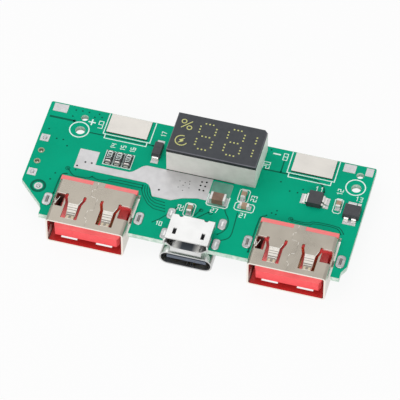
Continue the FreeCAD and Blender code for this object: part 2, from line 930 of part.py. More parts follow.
def usb_tail_lands(side):
    """The lands under the board that the contacts' tails are soldered to."""
    centre = mid + s.usb_pitch / 2 * side
    end = front - s.usb_overhang + s.usb_length + s.usb_tail_long + s.slot_clear
    word = "right" if side > 0 else "left"
    lands = []
    for turn, place in enumerate(usb_contact_places()):
        wide = s.usb_contact_wide + s.slot_clear
        corner = (centre + place - wide / 2, end - s.usb_tail_land, land_under)
        size = (wide, s.usb_tail_land, s.land_thick)
        lands.append(block(f"large_socket_{word}_land_{turn}", corner, size))
    return lands


def micro_shell():
    """The folded shell of the small socket: cut lower corners, windows and three front lips."""
    owner = new_body("micro_socket_shell", (mid, front - s.micro_overhang, board_top))
    tube = new_sketch(owner, "tube", "XZ_Plane")
    polygon(tube, micro_section(NOTHING))
    polygon(tube, micro_section(s.micro_wall))
    pad(owner, tube, s.micro_length, turned=True)

    windows = new_sketch(owner, "windows", "XY_Plane", s.micro_height - s.micro_wall)
    for way in (-1, 1):
        centre = (s.micro_window_pitch / 2 * way, s.micro_window_front + s.micro_window_long / 2)
        rectangle(windows, centre, s.micro_window_wide, s.micro_window_long)
        circle(windows, (s.micro_notch_pitch / 2 * way, s.micro_length), s.micro_notch_radius)
    pocket(owner, windows, s.micro_wall, turned=True)

    floor_half = s.micro_width / 2 - s.micro_corner
    lip = new_sketch(owner, "floor_lip", "YZ_Plane")
    polygon(lip, [
        (NOTHING, NOTHING),
        (NOTHING, s.micro_wall),
        (-s.micro_lip, s.micro_wall - s.micro_lip_rise),
        (-s.micro_lip, -s.micro_lip_rise),
    ])
    pad(owner, lip, floor_half * 2, both=True)
    side_lips = new_sketch(owner, "side_lips", "XY_Plane", s.micro_corner + s.micro_wall)
    half = s.micro_width / 2
    for way in (-1, 1):
        polygon(side_lips, [
            (half * way, NOTHING),
            ((half - s.micro_wall) * way, NOTHING),
            ((half - s.micro_wall + s.micro_lip_flare) * way, -s.micro_lip),
            ((half + s.micro_lip_flare) * way, -s.micro_lip),
        ])
    pad(owner, side_lips, s.micro_height - s.micro_corner - s.micro_wall * 2)
    return owner


def micro_section(wall):
    """The small socket's section: full width above, both lower corners cut at a slant."""
    half = s.micro_width / 2 - wall
    foot = s.micro_width / 2 - s.micro_corner - wall * MITRE
    low = wall
    knee = s.micro_corner + wall * MITRE
    top = s.micro_height - wall
    return [(-foot, low), (foot, low), (half, knee), (half, top), (-half, top), (-half, knee)]


def micro_insert():
    """The black core of the small socket: a back block with a thin tongue under the roof."""
    owner = new_body("micro_socket_insert", (mid, front - s.micro_overhang, board_top))
    start = s.micro_length - s.micro_block
    blank = new_sketch(owner, "block", "XZ_Plane", -start)
    polygon(blank, micro_section(s.micro_wall))
    pad(owner, blank, s.micro_block, turned=True)
    low = s.micro_height - s.micro_wall * 2 - s.micro_tongue_thick
    tongue = new_sketch(owner, "tongue", "XY_Plane", low)
    centre = (NOTHING, (start + s.micro_tongue_front) / 2)
    rectangle(tongue, centre, s.micro_tongue_wide, start - s.micro_tongue_front)
    pad(owner, tongue, s.micro_tongue_thick)
    channels = new_sketch(owner, "channels", "XZ_Plane", -start)
    for place in micro_contact_places():
        rectangle(channels, (place, low - s.micro_contact_thick / 2),
                  s.micro_contact_wide, s.micro_contact_thick)
    pocket(owner, channels, s.micro_block)
    return owner


def spread(pitch, count):
    """Places of count equal steps about the middle."""
    return [pitch * (turn - (count.number - 1) / 2) for turn in range(int(count.number))]


def micro_contact_places():
    return spread(s.micro_contact_pitch, s.micro_contact_count)


def micro_contacts():
    """Fine contacts under the tongue; each tail drops to the board behind the block."""
    low = s.micro_height - s.micro_wall * 2 - s.micro_tongue_thick - s.micro_contact_thick
    start = s.micro_tongue_front + s.micro_contact_front
    end = s.micro_length + s.micro_contact_thick
    thick = s.micro_contact_thick
    foot_top = s.land_thick + thick
    foot = end + s.micro_tail
    outline = [
        (start, low),
        (end - thick, low),
        (end - thick, s.land_thick),
        (foot, s.land_thick),
        (foot, foot_top),
        (end, foot_top),
        (end, low + thick),
        (start, low + thick),
    ]
    return comb("micro_socket_contacts", (mid, front - s.micro_overhang, board_top), outline,
                s.micro_contact_wide, s.micro_contact_pitch, s.micro_contact_count)


def micro_tail_lands():
    """The lands behind the small socket's block."""
    start = front - s.micro_overhang + s.micro_length
    lands = []
    for turn, place in enumerate(micro_contact_places()):
        corner = (mid + place - s.micro_contact_wide / 2, start, board_top)
        size = (s.micro_contact_wide, s.micro_tail + s.slot_clear * 2, s.land_thick)
        lands.append(block(f"micro_land_{turn}", corner, size))
    return lands


def oval_shell():
    """The drawn shell of the flat socket under the board, with four legs up through the board."""
    place = (mid, front - s.oval_overhang, s.board_raise - s.oval_height / 2)
    owner = new_body("oval_socket_shell", place)
    tube = new_sketch(owner, "tube", "XZ_Plane")
    middle = (NOTHING, NOTHING)
    flat = s.oval_wall / 4
    rounded(tube, middle, s.oval_width, s.oval_height, s.oval_height / 2 - flat)
    inner_width = s.oval_width - s.oval_wall * 2
    inner_height = s.oval_height - s.oval_wall * 2
    rounded(tube, middle, inner_width, inner_height, inner_height / 2 - flat)
    pad(owner, tube, s.oval_length, turned=True)
    for word, line in zip(("front", "back"), (s.oval_leg_front, s.oval_leg_back)):
        legs = new_sketch(owner, f"{word}_legs", "XZ_Plane", s.oval_leg_wide / 2 - line)
        leg_end = s.oval_height / 2 + s.board_thick + s.leg_above
        for way in (-1, 1):
            outer = s.oval_width / 2
            inner = outer - s.oval_leg_thick
            polygon(legs, [
                (inner * way, NOTHING),
                (outer * way, NOTHING),
                (outer * way, leg_end),
                (inner * way, leg_end),
            ])
        pad(owner, legs, s.oval_leg_wide, turned=True)
    return owner


def oval_insert():
    """The dark core of the flat socket: a back block with a thin tongue in the middle."""
    place = (mid, front - s.oval_overhang, s.board_raise - s.oval_height / 2)
    owner = new_body("oval_socket_insert", place)
    start = s.oval_length - s.oval_block
    flat = s.oval_wall / 4
    blank = new_sketch(owner, "block", "XZ_Plane", -start)
    wide = s.oval_width - s.oval_wall * 2
    high = s.oval_height - s.oval_wall * 2
    rounded(blank, (NOTHING, NOTHING), wide, high, high / 2 - flat)
    pad(owner, blank, s.oval_block, turned=True)
    tongue = new_sketch(owner, "tongue", "XY_Plane")
    centre = (NOTHING, (start + s.oval_tongue_front) / 2)
    rectangle(tongue, centre, s.oval_tongue_wide, start - s.oval_tongue_front)
    pad(owner, tongue, s.oval_tongue_thick, both=True)
    channels = new_sketch(owner, "channels", "XZ_Plane", -start)
    for place in oval_contact_places():
        for face in (-1, 1):
            level = (s.oval_tongue_thick + s.oval_contact_thick) / 2 * face
            rectangle(channels, (place, level), s.oval_contact_wide, s.oval_contact_thick)
    pocket(owner, channels, s.oval_block)
    return owner


def oval_contact_places():
    return spread(s.oval_contact_pitch, s.oval_contact_count)


def oval_rows():
    """The two rows: name, side of the tongue, and where the row rises behind the block."""
    rise = s.oval_length + s.oval_contact_thick
    return [("upper", 1, rise), ("lower", -1, rise + s.oval_row_gap)]


def oval_contacts():
    """Two rows of fine contacts on the tongue, bent up to the board's underside at their tails."""
    members = []
    start = s.oval_tongue_front + s.oval_contact_front
    thick = s.oval_contact_thick
    top = s.oval_height / 2 - s.land_thick
    for row, face, rise in oval_rows():
        low = s.oval_tongue_thick / 2
        if face < 0:
            low = -low - thick
        outline = [
            (start, low),
            (rise + thick, low),
            (rise + thick, top - thick),
            (rise + s.oval_tail, top - thick),
            (rise + s.oval_tail, top),
            (rise, top),
            (rise, low + thick),
            (start, low + thick),
        ]
        place = (mid, front - s.oval_overhang, s.board_raise - s.oval_height / 2)
        members.append(comb(f"oval_contacts_{row}", place, outline, s.oval_contact_wide,
                            s.oval_contact_pitch, s.oval_contact_count))
    return group("oval_socket_contacts", members)


def oval_tail_lands():
    """The two rows of lands behind the flat socket, on the board's underside."""
    lands = []
    for row, face, rise in oval_rows():
        start = front - s.oval_overhang + rise
        for turn, place in enumerate(oval_contact_places()):
            corner = (mid + place - s.oval_contact_wide / 2, start, land_under)
            size = (s.oval_contact_wide, s.oval_tail + s.slot_clear, s.land_thick)
            lands.append(block(f"oval_land_{row}_{turn}", corner, size))
    return lands


def display_body():
    """The pale case of the display, open below and filled; the dark cap closes its top."""
    owner = new_body("display_body", (mid, front + display_front, board_top))
    outline = new_sketch(owner, "outline", "XY_Plane")
    centre = (NOTHING, s.display_depth / 2)
    rectangle(outline, centre, s.display_length, s.display_depth)
    pad(owner, outline, s.display_height)
    holes = new_sketch(owner, "pin_holes", "XY_Plane")
    for place in display_pin_places():
        circle(holes, (place, s.display_depth - s.display_pin_back), s.display_pin_radius)
    pocket(owner, holes, s.display_pin_deep, turned=True)
    return owner


def display_cap():
    """The dark face of the display: a thin cover with bevelled edges and one cut corner."""
    owner = new_body("display_cap", (mid, front + display_front, board_top + s.display_height))
    outline = new_sketch(owner, "outline", "XY_Plane")
    side = s.display_length / 2 + s.cap_rim
    low = -s.cap_rim
    high = s.display_depth + s.cap_rim
    polygon(outline, [
        (-side, low),
        (side, low),
        (side, high - s.cap_key),
        (side - s.cap_key, high),
        (-side, high),
    ])
    cover = pad(owner, outline, s.cap_thick)
    half = s.cap_thick.number / 2
    dress(owner, "PartDesign::Chamfer", "Size", s.cap_bevel, cover, lambda box: box.ZMin > half)
    return owner


def display_lenses():
    """The light openings in the display's face: segment dots, a percent sign, a charging ring."""
    level = board_top + s.display_height + s.cap_thick
    place = (mid, front + display_front, level)
    right = s.display_length / 2 - s.digit_right
    gap = (s.display_length - s.sign_room - s.digit_right - s.digit_width * 2) / 2
    dots = upright(right)
    for digit in range(2):
        centre = right - (s.digit_width + gap) * digit - gap - s.digit_width / 2
        for step in (-1, 0, 1):
            for row in range(3):
                dots.append((centre + s.dot_pitch * step, s.digit_front + digit_height / 2 * row))
        for hand in (-1, 1):
            dots += upright(centre + s.digit_width / 2 * hand)
    members = []
    for turn, (across, up) in enumerate(dots):
        corner = (place[0] + across - s.lens_dot / 2, place[1] + up - s.lens_dot / 2, level)
        members.append(block(f"lens_dot_{turn}", corner, (s.lens_dot, s.lens_dot, s.lens_rise)))

    owner = new_body("lens_signs", place)
    column = -s.display_length / 2 + s.sign_inset
    reach = s.percent_reach
    slant = s.percent_slant
    line = s.percent_line
    percent_front = s.display_depth - s.percent_back
    percent = new_sketch(owner, "percent", "XY_Plane")
    for way in (-1, 1):
        centre = (column - reach * way, percent_front + reach * way)
        circle(percent, centre, s.percent_ring + s.ring_line / 2)
        circle(percent, centre, s.percent_ring - s.ring_line / 2)
    polygon(percent, [
        (column - slant, percent_front - slant + line),
        (column - slant + line, percent_front - slant),
        (column + slant, percent_front + slant - line),
        (column + slant - line, percent_front + slant),
    ])
    pad(owner, percent, s.lens_rise)

    charge = new_sketch(owner, "charge", "XY_Plane")
    height = s.charge_front
    polygon(charge, [
        (column - s.bolt_reach, height - s.bolt_high),
        (column + s.bolt_wide, height - s.bolt_step / 2),
        (column + s.bolt_waist, height + s.bolt_step),
        (column + s.bolt_reach, height + s.bolt_high),
        (column - s.bolt_wide, height + s.bolt_step / 2),
        (column - s.bolt_waist, height - s.bolt_step),
    ])
    broken_ring(charge, (column, height), s.ring_radius, s.ring_line)
    pad(owner, charge, s.lens_rise)
    return group("display_lenses", members + [owner])


def upright(across):
    """One column of a digit: three dots beside its lower half and three beside its upper half."""
    return [
        (across, s.digit_front + digit_height / 4 * part + s.dot_pitch * step)
        for part in (1, 3) for step in (-1, 0, 1)
    ]


def broken_ring(sketch, centre, radius, line):
    """A ring of straight facets, left open on its right."""
    outer = radius + line / 2
    inner = radius - line / 2
    corners = []
    for turn in range(RING_FACETS + 1):
        angle = RING_BEGIN + RING_SWEEP * turn / RING_FACETS
        corners.append((centre[0] + outer * math.cos(angle), centre[1] + outer * math.sin(angle)))
    for turn in range(RING_FACETS, -1, -1):
        angle = RING_BEGIN + RING_SWEEP * turn / RING_FACETS
        corners.append((centre[0] + inner * math.cos(angle), centre[1] + inner * math.sin(angle)))
    polygon(sketch, corners)


def display_pins():
    """The display's pins, from inside its case down through the board."""
    members = []
    low = s.board_raise - s.display_pin_below
    long = s.display_pin_below + s.board_thick + s.display_pin_deep
    for turn, place in enumerate(display_pin_places()):
        corner = (mid + place, front + pin_line, low)
        members.append(post(f"display_pin_{turn}", corner, s.display_pin_radius, long))
    return group("display_pins", members)


def pin_solder():
    """A ring of solder around each display pin under the board."""
    low = s.board_raise - s.pin_solder_high
    owner = new_body("display_pin_solder", (mid, front, low))
    rings = new_sketch(owner, "rings", "XY_Plane")
    for place in display_pin_places():
        circle(rings, (place, pin_line), s.pin_solder_radius)
        circle(rings, (place, pin_line), s.display_pin_radius)
    pad(owner, rings, s.pin_solder_high)
    return owner


def battery_plate(name, side):
    """A thick tinned plate at the back edge, where a battery's strip is soldered or welded."""
    low = back - s.plate_to_back - s.plate_depth
    left = mid + s.plate_pitch / 2 * side - s.plate_width / 2
    return block(name, (left, low, board_top), (s.plate_width, s.plate_depth, s.plate_thick))


class Chip:
    """A small ceramic part with a soldered cap at each end; its long side runs along Y or X."""

    def __init__(self, name, across, up, along="Y"):
        self.name = name
        self.across = across
        self.up = up
        self.along = along
        self.below = False
        self.long = s.chip_long
        self.wide = s.chip_wide
        self.cap = s.chip_cap
        self.high = s.capacitor_high
        self.over = s.land_over

    def flatten(self):
        """Takes the low, wide case of a resistor."""
        self.long = s.resistor_long
        self.wide = s.resistor_wide
        self.cap = s.resistor_cap
        self.high = s.resistor_high
        self.over = s.resistor_land_over

    def grow(self):
        """Takes the larger ceramic case."""
        self.long = s.big_chip_long
        self.wide = s.big_chip_wide
        self.high = s.big_chip_high

    def slab(self, name, offset, long, wide, low, high):
        """A box whose middle is offset along the chip's long side."""
        if self.along == "Y":
            size = (wide, long, high)
            centre = (self.across, self.up + offset)
        else:
            size = (long, wide, high)
            centre = (self.across + offset, self.up)
        corner = (mid + centre[0] - size[0] / 2, front + centre[1] - size[1] / 2, low)
        return block(name, corner, size)

    def level(self):
        return land_under - self.high if self.below else land_top

    def body(self):
        long = self.long - self.cap * 2
        return self.slab(self.name, 0, long, self.wide, self.level(), self.high)

    def caps(self):
        offset = (self.long - self.cap) / 2
        return [
            self.slab(f"{self.name}_cap_{turn}", offset * way, self.cap, self.wide,
                      self.level(), self.high)
            for turn, way in enumerate((-1, 1))
        ]

    def lands(self):
        low = land_under if self.below else board_top
        long = self.cap + self.over
        offset = (self.long - self.cap + self.over) / 2
        wide = self.wide + s.land_thick * 2
        return [
            self.slab(f"{self.name}_land_{turn}", offset * way, long, wide, low, s.land_thick)
            for turn, way in enumerate((-1, 1))
        ]


def resistors():
    """Three chip resistors side by side, left of the display."""
    made = []
    for turn in range(3):
        chip = Chip(f"resistor_{turn + 1}", -s.resistor_left + s.resistor_pitch * turn,
                    heat_front + s.heat_strip + s.resistor_behind)
        chip.flatten()
        made.append(chip)
    return made


def capacitors():
    """The ceramic capacitors around the sockets and the display."""
    row = display_front - s.cap_rim
    behind = small_back + s.socket_capacitor_back
    small = [
        Chip("capacitor_behind_small_socket", -s.socket_capacitor_left, behind),
        Chip("capacitor_upright", s.upright_capacitor_right, row - s.upright_capacitor_down),
        Chip("capacitor_level", s.level_capacitor_right, row - s.level_capacitor_down, along="X"),
        Chip("capacitor_beside_switch", right_edge - s.edge_capacitor_inset, row),
    ]
    big = Chip("capacitor_large", s.large_capacitor_right, row - s.large_capacitor_down, along="X")
    big.grow()
    return small + [big]


def under_capacitors():
    """The controller's capacitors on the underside."""
    made = []
    for turn, way in enumerate((-1, 1)):
        up = display_front - s.under_capacitor_down
        chip = Chip(f"under_capacitor_{turn + 1}", s.under_capacitor_reach * way, up)
        chip.below = True
        chip.grow()
        made.append(chip)
    return made


class Lead:
    """A bent lead from a package's edge to its land; way is the side that it leaves from."""

    def __init__(self, name, across, up, wide, way, reach=None, over=None, axis="X"):
        self.name = name
        self.across = across
        self.up = up
        self.wide = wide
        self.way = way
        self.reach = s.lead_reach if reach is None else reach
        self.over = s.lead_land_over if over is None else over
        self.axis = axis

    def body(self):
        owner = new_body(self.name, (self.across, self.up, land_top))
        side_view = new_sketch(owner, "side", f"{self.axis}Z_Plane")
        thick = s.lead_thick
        knee = s.lead_knee
        outline = [
            (NOTHING, s.lead_rise),
            (NOTHING, s.lead_rise + thick),
            (knee, s.lead_rise + thick),
            (knee + thick, s.lead_rise),
            (knee + thick, thick),
            (self.reach, thick),
            (self.reach, NOTHING),
            (knee, NOTHING),
            (knee, s.lead_rise),
        ]
        polygon(side_view, [(along * self.way, height) for along, height in outline])
        pad(owner, side_view, self.wide, both=True)
        return owner

    def land(self):
        """The tinned land under the foot, longer than it by over."""
        long = self.reach + self.over - s.lead_knee
        low = s.lead_knee if self.way > 0 else -(self.reach + self.over)
        wide = self.wide + s.slot_clear
        corner = (self.across + low, self.up - wide / 2, board_top)
        size = (long, wide, s.land_thick)
        if self.axis == "Y":
            corner = (self.across - wide / 2, self.up + low, board_top)
            size = (wide, long, s.land_thick)
        return block(f"{self.name}_land", corner, size)


def moulded(name, place, size):
    """A moulded package: a box with slightly sloped sides."""
    owner = new_body(name, place)
    outline = new_sketch(owner, "outline", "XY_Plane")
    rectangle(outline, (NOTHING, NOTHING), size[0], size[1])
    shell = pad(owner, outline, size[2])
    bind(shell, "TaperAngle", -s.mould_slope)
    return owner


def diode():
    """A two lead diode between the left plate and the display."""
    across = mid - s.display_length / 2 - s.cap_rim - s.diode_to_display
    up = front + display_front + s.diode_up
    body = moulded("diode_body", (across, up, board_top + s.switch_stand),
                   (s.diode_wide, s.diode_long, s.diode_high))
    leads = [
        Lead(f"diode_lead_{turn}", across, up + s.diode_long / 2 * way, s.diode_lead_wide, way,
             s.diode_lead_reach, s.diode_land_over, "Y")
        for turn, way in enumerate((-1, 1))
    ]
    return body, "diode_leads", leads, [lead.land() for lead in leads]


def battery_switch():
    """The moulded battery switch right of the display: one wide tab left, two leads right."""
    across = mid + right_edge - s.switch_inset
    up = front + display_front - s.switch_down
    body = moulded("battery_switch_body", (across, up, board_top + s.switch_stand),
                   (s.switch_wide, s.switch_long, s.switch_high))
    rows = [
        ("tab", -1, NOTHING, s.tab_lead_wide),
        ("power", 1, s.power_lead_shift, s.power_lead_wide),
        ("signal", 1, -s.signal_lead_shift, s.signal_lead_wide),
    ]
    leads = [
        Lead(f"battery_switch_{word}", across + s.switch_wide / 2 * way, up + shift, wide, way)
        for word, way, shift, wide in rows
    ]
    return body, "battery_switch_leads", leads, [lead.land() for lead in leads]


def guard_chip():
    """The guard chip near the right edge: two leads on one land in front, two at its back."""
    across = mid + right_edge - s.guard_inset
    up = front + display_front - s.guard_down
    body = moulded("guard_chip_body", (across, up, board_top + s.switch_stand),
                   (s.switch_long, s.switch_wide, s.switch_high))
    pitch = s.front_lead_pitch / 2
    rows = [
        ("front_left", -1, -pitch, s.front_lead_wide),
        ("front_right", -1, pitch, s.front_lead_wide),
        ("back_left", 1, -s.power_lead_shift, s.power_lead_wide),
        ("back_right", 1, s.signal_lead_shift, s.signal_lead_wide),
    ]
    leads = [
        Lead(f"guard_chip_{word}", across + shift, up + s.switch_wide / 2 * way, wide, way, axis="Y")
        for word, way, shift, wide in rows
    ]
    wide = s.front_lead_pitch + s.front_lead_wide
    shared = Lead("guard_chip_front", across, up - s.switch_wide / 2, wide, -1, axis="Y")
    return body, "guard_chip_leads", leads, [lead.land() for lead in [shared] + leads[2:]]


def coil():
    """The power coil under the display: as low as the sockets, so the module lies level."""
    up = front + display_front + s.coil_front + s.coil_side / 2
    high = land_under - s.coil_terminal
    owner = new_body("coil_body", (mid, up, NOTHING))
    outline = new_sketch(owner, "outline", "XY_Plane")
    rounded(outline, (NOTHING, NOTHING), s.coil_side, s.coil_side, s.coil_round)
    pad(owner, outline, high)
    return owner


def coil_terminals(kind):
    """The coil's two flat terminals, or with kind land the lands that they are soldered to."""
    up = front + display_front + s.coil_front + s.coil_side / 2
    low = land_under - s.coil_terminal
    thick = s.coil_terminal
    if kind == "land":
        low = land_under
        thick = s.land_thick
    members = []
    for turn, way in enumerate((-1, 1)):
        left = s.coil_side / 2 * way
        if way > 0:
            left = left - s.coil_terminal_long
        corner = (mid + left, up - s.coil_terminal_wide / 2, low)
        size = (s.coil_terminal_long, s.coil_terminal_wide, thick)
        members.append(block(f"coil_{kind}_{turn}", corner, size))
    return members


def controller_place():
    across = mid - s.controller_offset
    up = front + display_front - s.controller_behind
    return across, up


def controller():
    """The power controller under the heat area."""
    across, up = controller_place()
    low = s.board_raise - s.switch_stand - s.controller_high
    corner = (across - s.controller_long / 2, up - s.controller_wide / 2, low)
    size = (s.controller_long, s.controller_wide, s.controller_high)
    return block("controller_body", corner, size)


def controller_leads():
    """A row of bent leads on each long side of the controller, up to the board's underside."""
    across, up = controller_place()
    thick = s.lead_thick
    knee = s.lead_knee
    drop = -s.lead_rise
    rows = []
    for word, way in (("front", -1), ("back", 1)):
        outline = [
            (NOTHING, drop),
            (NOTHING, drop - thick),
            (knee + thick, drop - thick),
            (knee + thick, -thick),
            (s.lead_reach, -thick),
            (s.lead_reach, NOTHING),
            (knee, NOTHING),
            (knee, drop),
        ]
        place = (across, up + s.controller_wide / 2 * way, land_under)
        outline = [(along * way, height) for along, height in outline]
        rows.append(comb(f"controller_leads_{word}", place, outline, s.controller_lead_wide,
                         s.controller_lead_pitch, s.controller_lead_count))
    return group("controller_leads", rows)


def controller_lands():
    across, up = controller_place()
    long = s.lead_reach - s.lead_knee
    wide = s.controller_lead_wide + s.slot_clear
    lands = []
    for word, way in (("front", -1), ("back", 1)):
        edge = up + s.controller_wide / 2 * way
        low = edge + s.lead_knee if way > 0 else edge - s.lead_reach
        for turn, shift in enumerate(spread(s.controller_lead_pitch, s.controller_lead_count)):
            corner = (across + shift - wide / 2, low, land_under)
            lands.append(block(f"controller_land_{word}_{turn}", corner, (wide, long, s.land_thick)))
    return lands


def mound(name, place, draw, high):
    """A low heap of solder with eased top edges; draw puts its outline in the sketch."""
    owner = new_body(name, place)
    outline = new_sketch(owner, "outline", "XY_Plane")
    reach = draw(outline)
    heap = pad(owner, outline, high)
    dress(owner, "PartDesign::Fillet", "Radius", s.solder_ease, heap,
          lambda box: box.ZMin > 0 and max(box.XMax, box.YMax, -box.XMin, -box.YMin) > reach)
    return owner


def leg_solder(name, places, leg, long, wide):
    """A low heap of solder around each leg that comes up through the board."""

    def draw(sketch):
        rounded(sketch, (NOTHING, NOTHING), wide, long, wide / 2 - s.slot_clear)
        rectangle(sketch, (NOTHING, NOTHING), leg[0], leg[1])
        return wide.number / 2 - s.slot_clear.number

    return group(name, [
        mound(f"{name}_{turn}", (mid + across, front + up, board_top), draw, s.solder_rise)
        for turn, (across, up) in enumerate(places)
    ])


def solder_plugs():
    """Solder that fills the holes of the lands at the left edge."""

    def draw(sketch):
        circle(sketch, (NOTHING, NOTHING), s.plug_radius)
        return 0

    return group("solder_plugs", [
        mound(f"solder_plug_{turn}", (mid + across, front + up, land_top), draw, s.solder_rise)
        for turn, (across, up) in enumerate(edge_lands())
    ])


node(circuit_board())
node(heat_area())
node(solder_lands())
node(lamp_barrels())
for word, side in (("left", -1), ("right", 1)):
    node(usb_shell(f"large_socket_{word}_shell", side))
    node(usb_insert(f"large_socket_{word}_insert", side))
    node(usb_contacts(f"large_socket_{word}_contacts", side))
    node(battery_plate(f"battery_plate_{word}", side))
node(micro_shell())
node(micro_insert())
node(micro_contacts())
node(oval_shell())
node(oval_insert())
node(oval_contacts())
node(display_body())
node(display_cap())
node(display_lenses())
node(display_pins())
node(pin_solder())

top_lands = micro_tail_lands()
under_lands = usb_tail_lands(-1) + usb_tail_lands(1) + oval_tail_lands()
resistor_caps = []
for chip in resistors():
    node(chip.body())
    resistor_caps += chip.caps()
    top_lands += chip.lands()
node(group("resistor_caps", resistor_caps))
capacitor_caps = []
for chip in capacitors():
    node(chip.body())
    capacitor_caps += chip.caps()
    top_lands += chip.lands()
node(group("capacitor_caps", capacitor_caps))
under_caps = []
for chip in under_capacitors():
    node(chip.body())
    under_caps += chip.caps()
    under_lands += chip.lands()
node(group("under_capacitor_caps", under_caps))
for maker in (diode, battery_switch, guard_chip):
    body, name, leads, lands = maker()
    node(body)
    node(group(name, [lead.body() for lead in leads]))
    top_lands += lands
node(coil())
node(group("coil_terminals", coil_terminals("terminal")))
node(controller())
node(controller_leads())
under_lands += coil_terminals("land") + controller_lands()
node(group("part_lands", top_lands))
node(group("under_lands", under_lands))

usb_legs = [
    (s.usb_pitch / 2 * socket + usb_leg_side * side, usb_leg_line)
    for socket in (-1, 1) for side in (-1, 1)
]
node(leg_solder("large_socket_solder", usb_legs, (s.usb_leg_thick, s.usb_leg_wide),
                s.usb_solder_long, s.usb_solder_wide))
oval_legs = [(oval_leg_side * side, line) for side in (-1, 1) for line in oval_leg_lines]
node(leg_solder("oval_socket_solder", oval_legs, (s.oval_leg_thick, s.oval_leg_wide),
                s.oval_solder_long, s.oval_solder_wide))
node(solder_plugs())

doc.recompute()

for item in doc.Objects:
    if "Invalid" in item.State or "Error" in item.State:
        raise RuntimeError(f"{item.Name} did not build: {item.State}")
for item in NODES:
    if item.Shape.isNull() or not item.Shape.isValid() or not item.Shape.Solids:
        raise RuntimeError(f"{item.Label} has no sound shape")

os.makedirs("parts", exist_ok=True)
for item in NODES:
    item.Shape.exportStep(f"parts/{item.Label}.step")
    box = item.Shape.BoundBox
    print(f"{item.Label}: {len(item.Shape.Solids)} solids, volume {item.Shape.Volume:.3f},"
          f" x {box.XMin:.2f} to {box.XMax:.2f}, y {box.YMin:.2f} to {box.YMax:.2f},"
          f" z {box.ZMin:.2f} to {box.ZMax:.2f}")
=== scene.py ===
"""Looks of the charging module.

Finishes go on the CAD nodes, and thin detail lies on them. Lengths are in millimetres unless a
name or a comment says otherwise, and detail is placed from the board's left front corner.
"""
import math

import bmesh
import bpy
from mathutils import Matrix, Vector


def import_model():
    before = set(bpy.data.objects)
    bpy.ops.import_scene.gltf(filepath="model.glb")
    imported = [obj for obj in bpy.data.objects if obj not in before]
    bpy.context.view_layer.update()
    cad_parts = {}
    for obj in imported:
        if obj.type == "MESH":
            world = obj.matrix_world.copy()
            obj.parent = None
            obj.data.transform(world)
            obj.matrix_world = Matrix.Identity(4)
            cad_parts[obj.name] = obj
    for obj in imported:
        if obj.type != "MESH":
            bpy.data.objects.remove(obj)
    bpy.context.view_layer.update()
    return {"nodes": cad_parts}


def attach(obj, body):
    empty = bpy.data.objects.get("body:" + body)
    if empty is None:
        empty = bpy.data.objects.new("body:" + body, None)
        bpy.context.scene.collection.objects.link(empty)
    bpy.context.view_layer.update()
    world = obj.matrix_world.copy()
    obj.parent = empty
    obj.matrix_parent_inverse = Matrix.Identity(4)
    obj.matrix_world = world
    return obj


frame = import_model()
NODES = frame["nodes"]

MM = 0.001
# The board's left front corner in the part's frame, and the height of its upper face.
BOARD_LEFT = -28.47
BOARD_FRONT = -11.025
BOARD_TOP = 4.12
# The thickness of a layer of print, of a thinner layer of paint, and of a sloped strip.
LIFT = 0.012
THIN = LIFT / 2
SLOPE_THICK = 0.03
# Heights above the part's base.
TIN_TOP = BOARD_TOP + 0.05
OVER_TIN = BOARD_TOP + 0.06
LEG_TOP = 4.32
SMALL_FLOOR = 4.38
RESISTOR_TOP = 4.67
SHELL_TOP = 5.72
# Places across the board: the large sockets' middles, their springs' and walls' distance from
# those, and the resistors' middles.
SOCKET_CENTRES = (13.21, 47.79)
SPRING_OFFSET = 3.025
WALL_OFFSET = 6.375
RESISTOR_CENTRES = (12.85, 14.47, 16.09)
# The middle of the small socket's mouth along X of the part's frame.
SMALL_MOUTH_X = 2.03


def srgb(red, green, blue):
    """A colour given as 0 to 255 in the display's space, as linear values."""
    def linear(value):
        value /= 255
        return value / 12.92 if value <= 0.04045 else ((value + 0.055) / 1.055) ** 2.4
    return (linear(red), linear(green), linear(blue), 1.0)


BLACK = (0.0, 0.0, 0.0, 1.0)


# Finishes

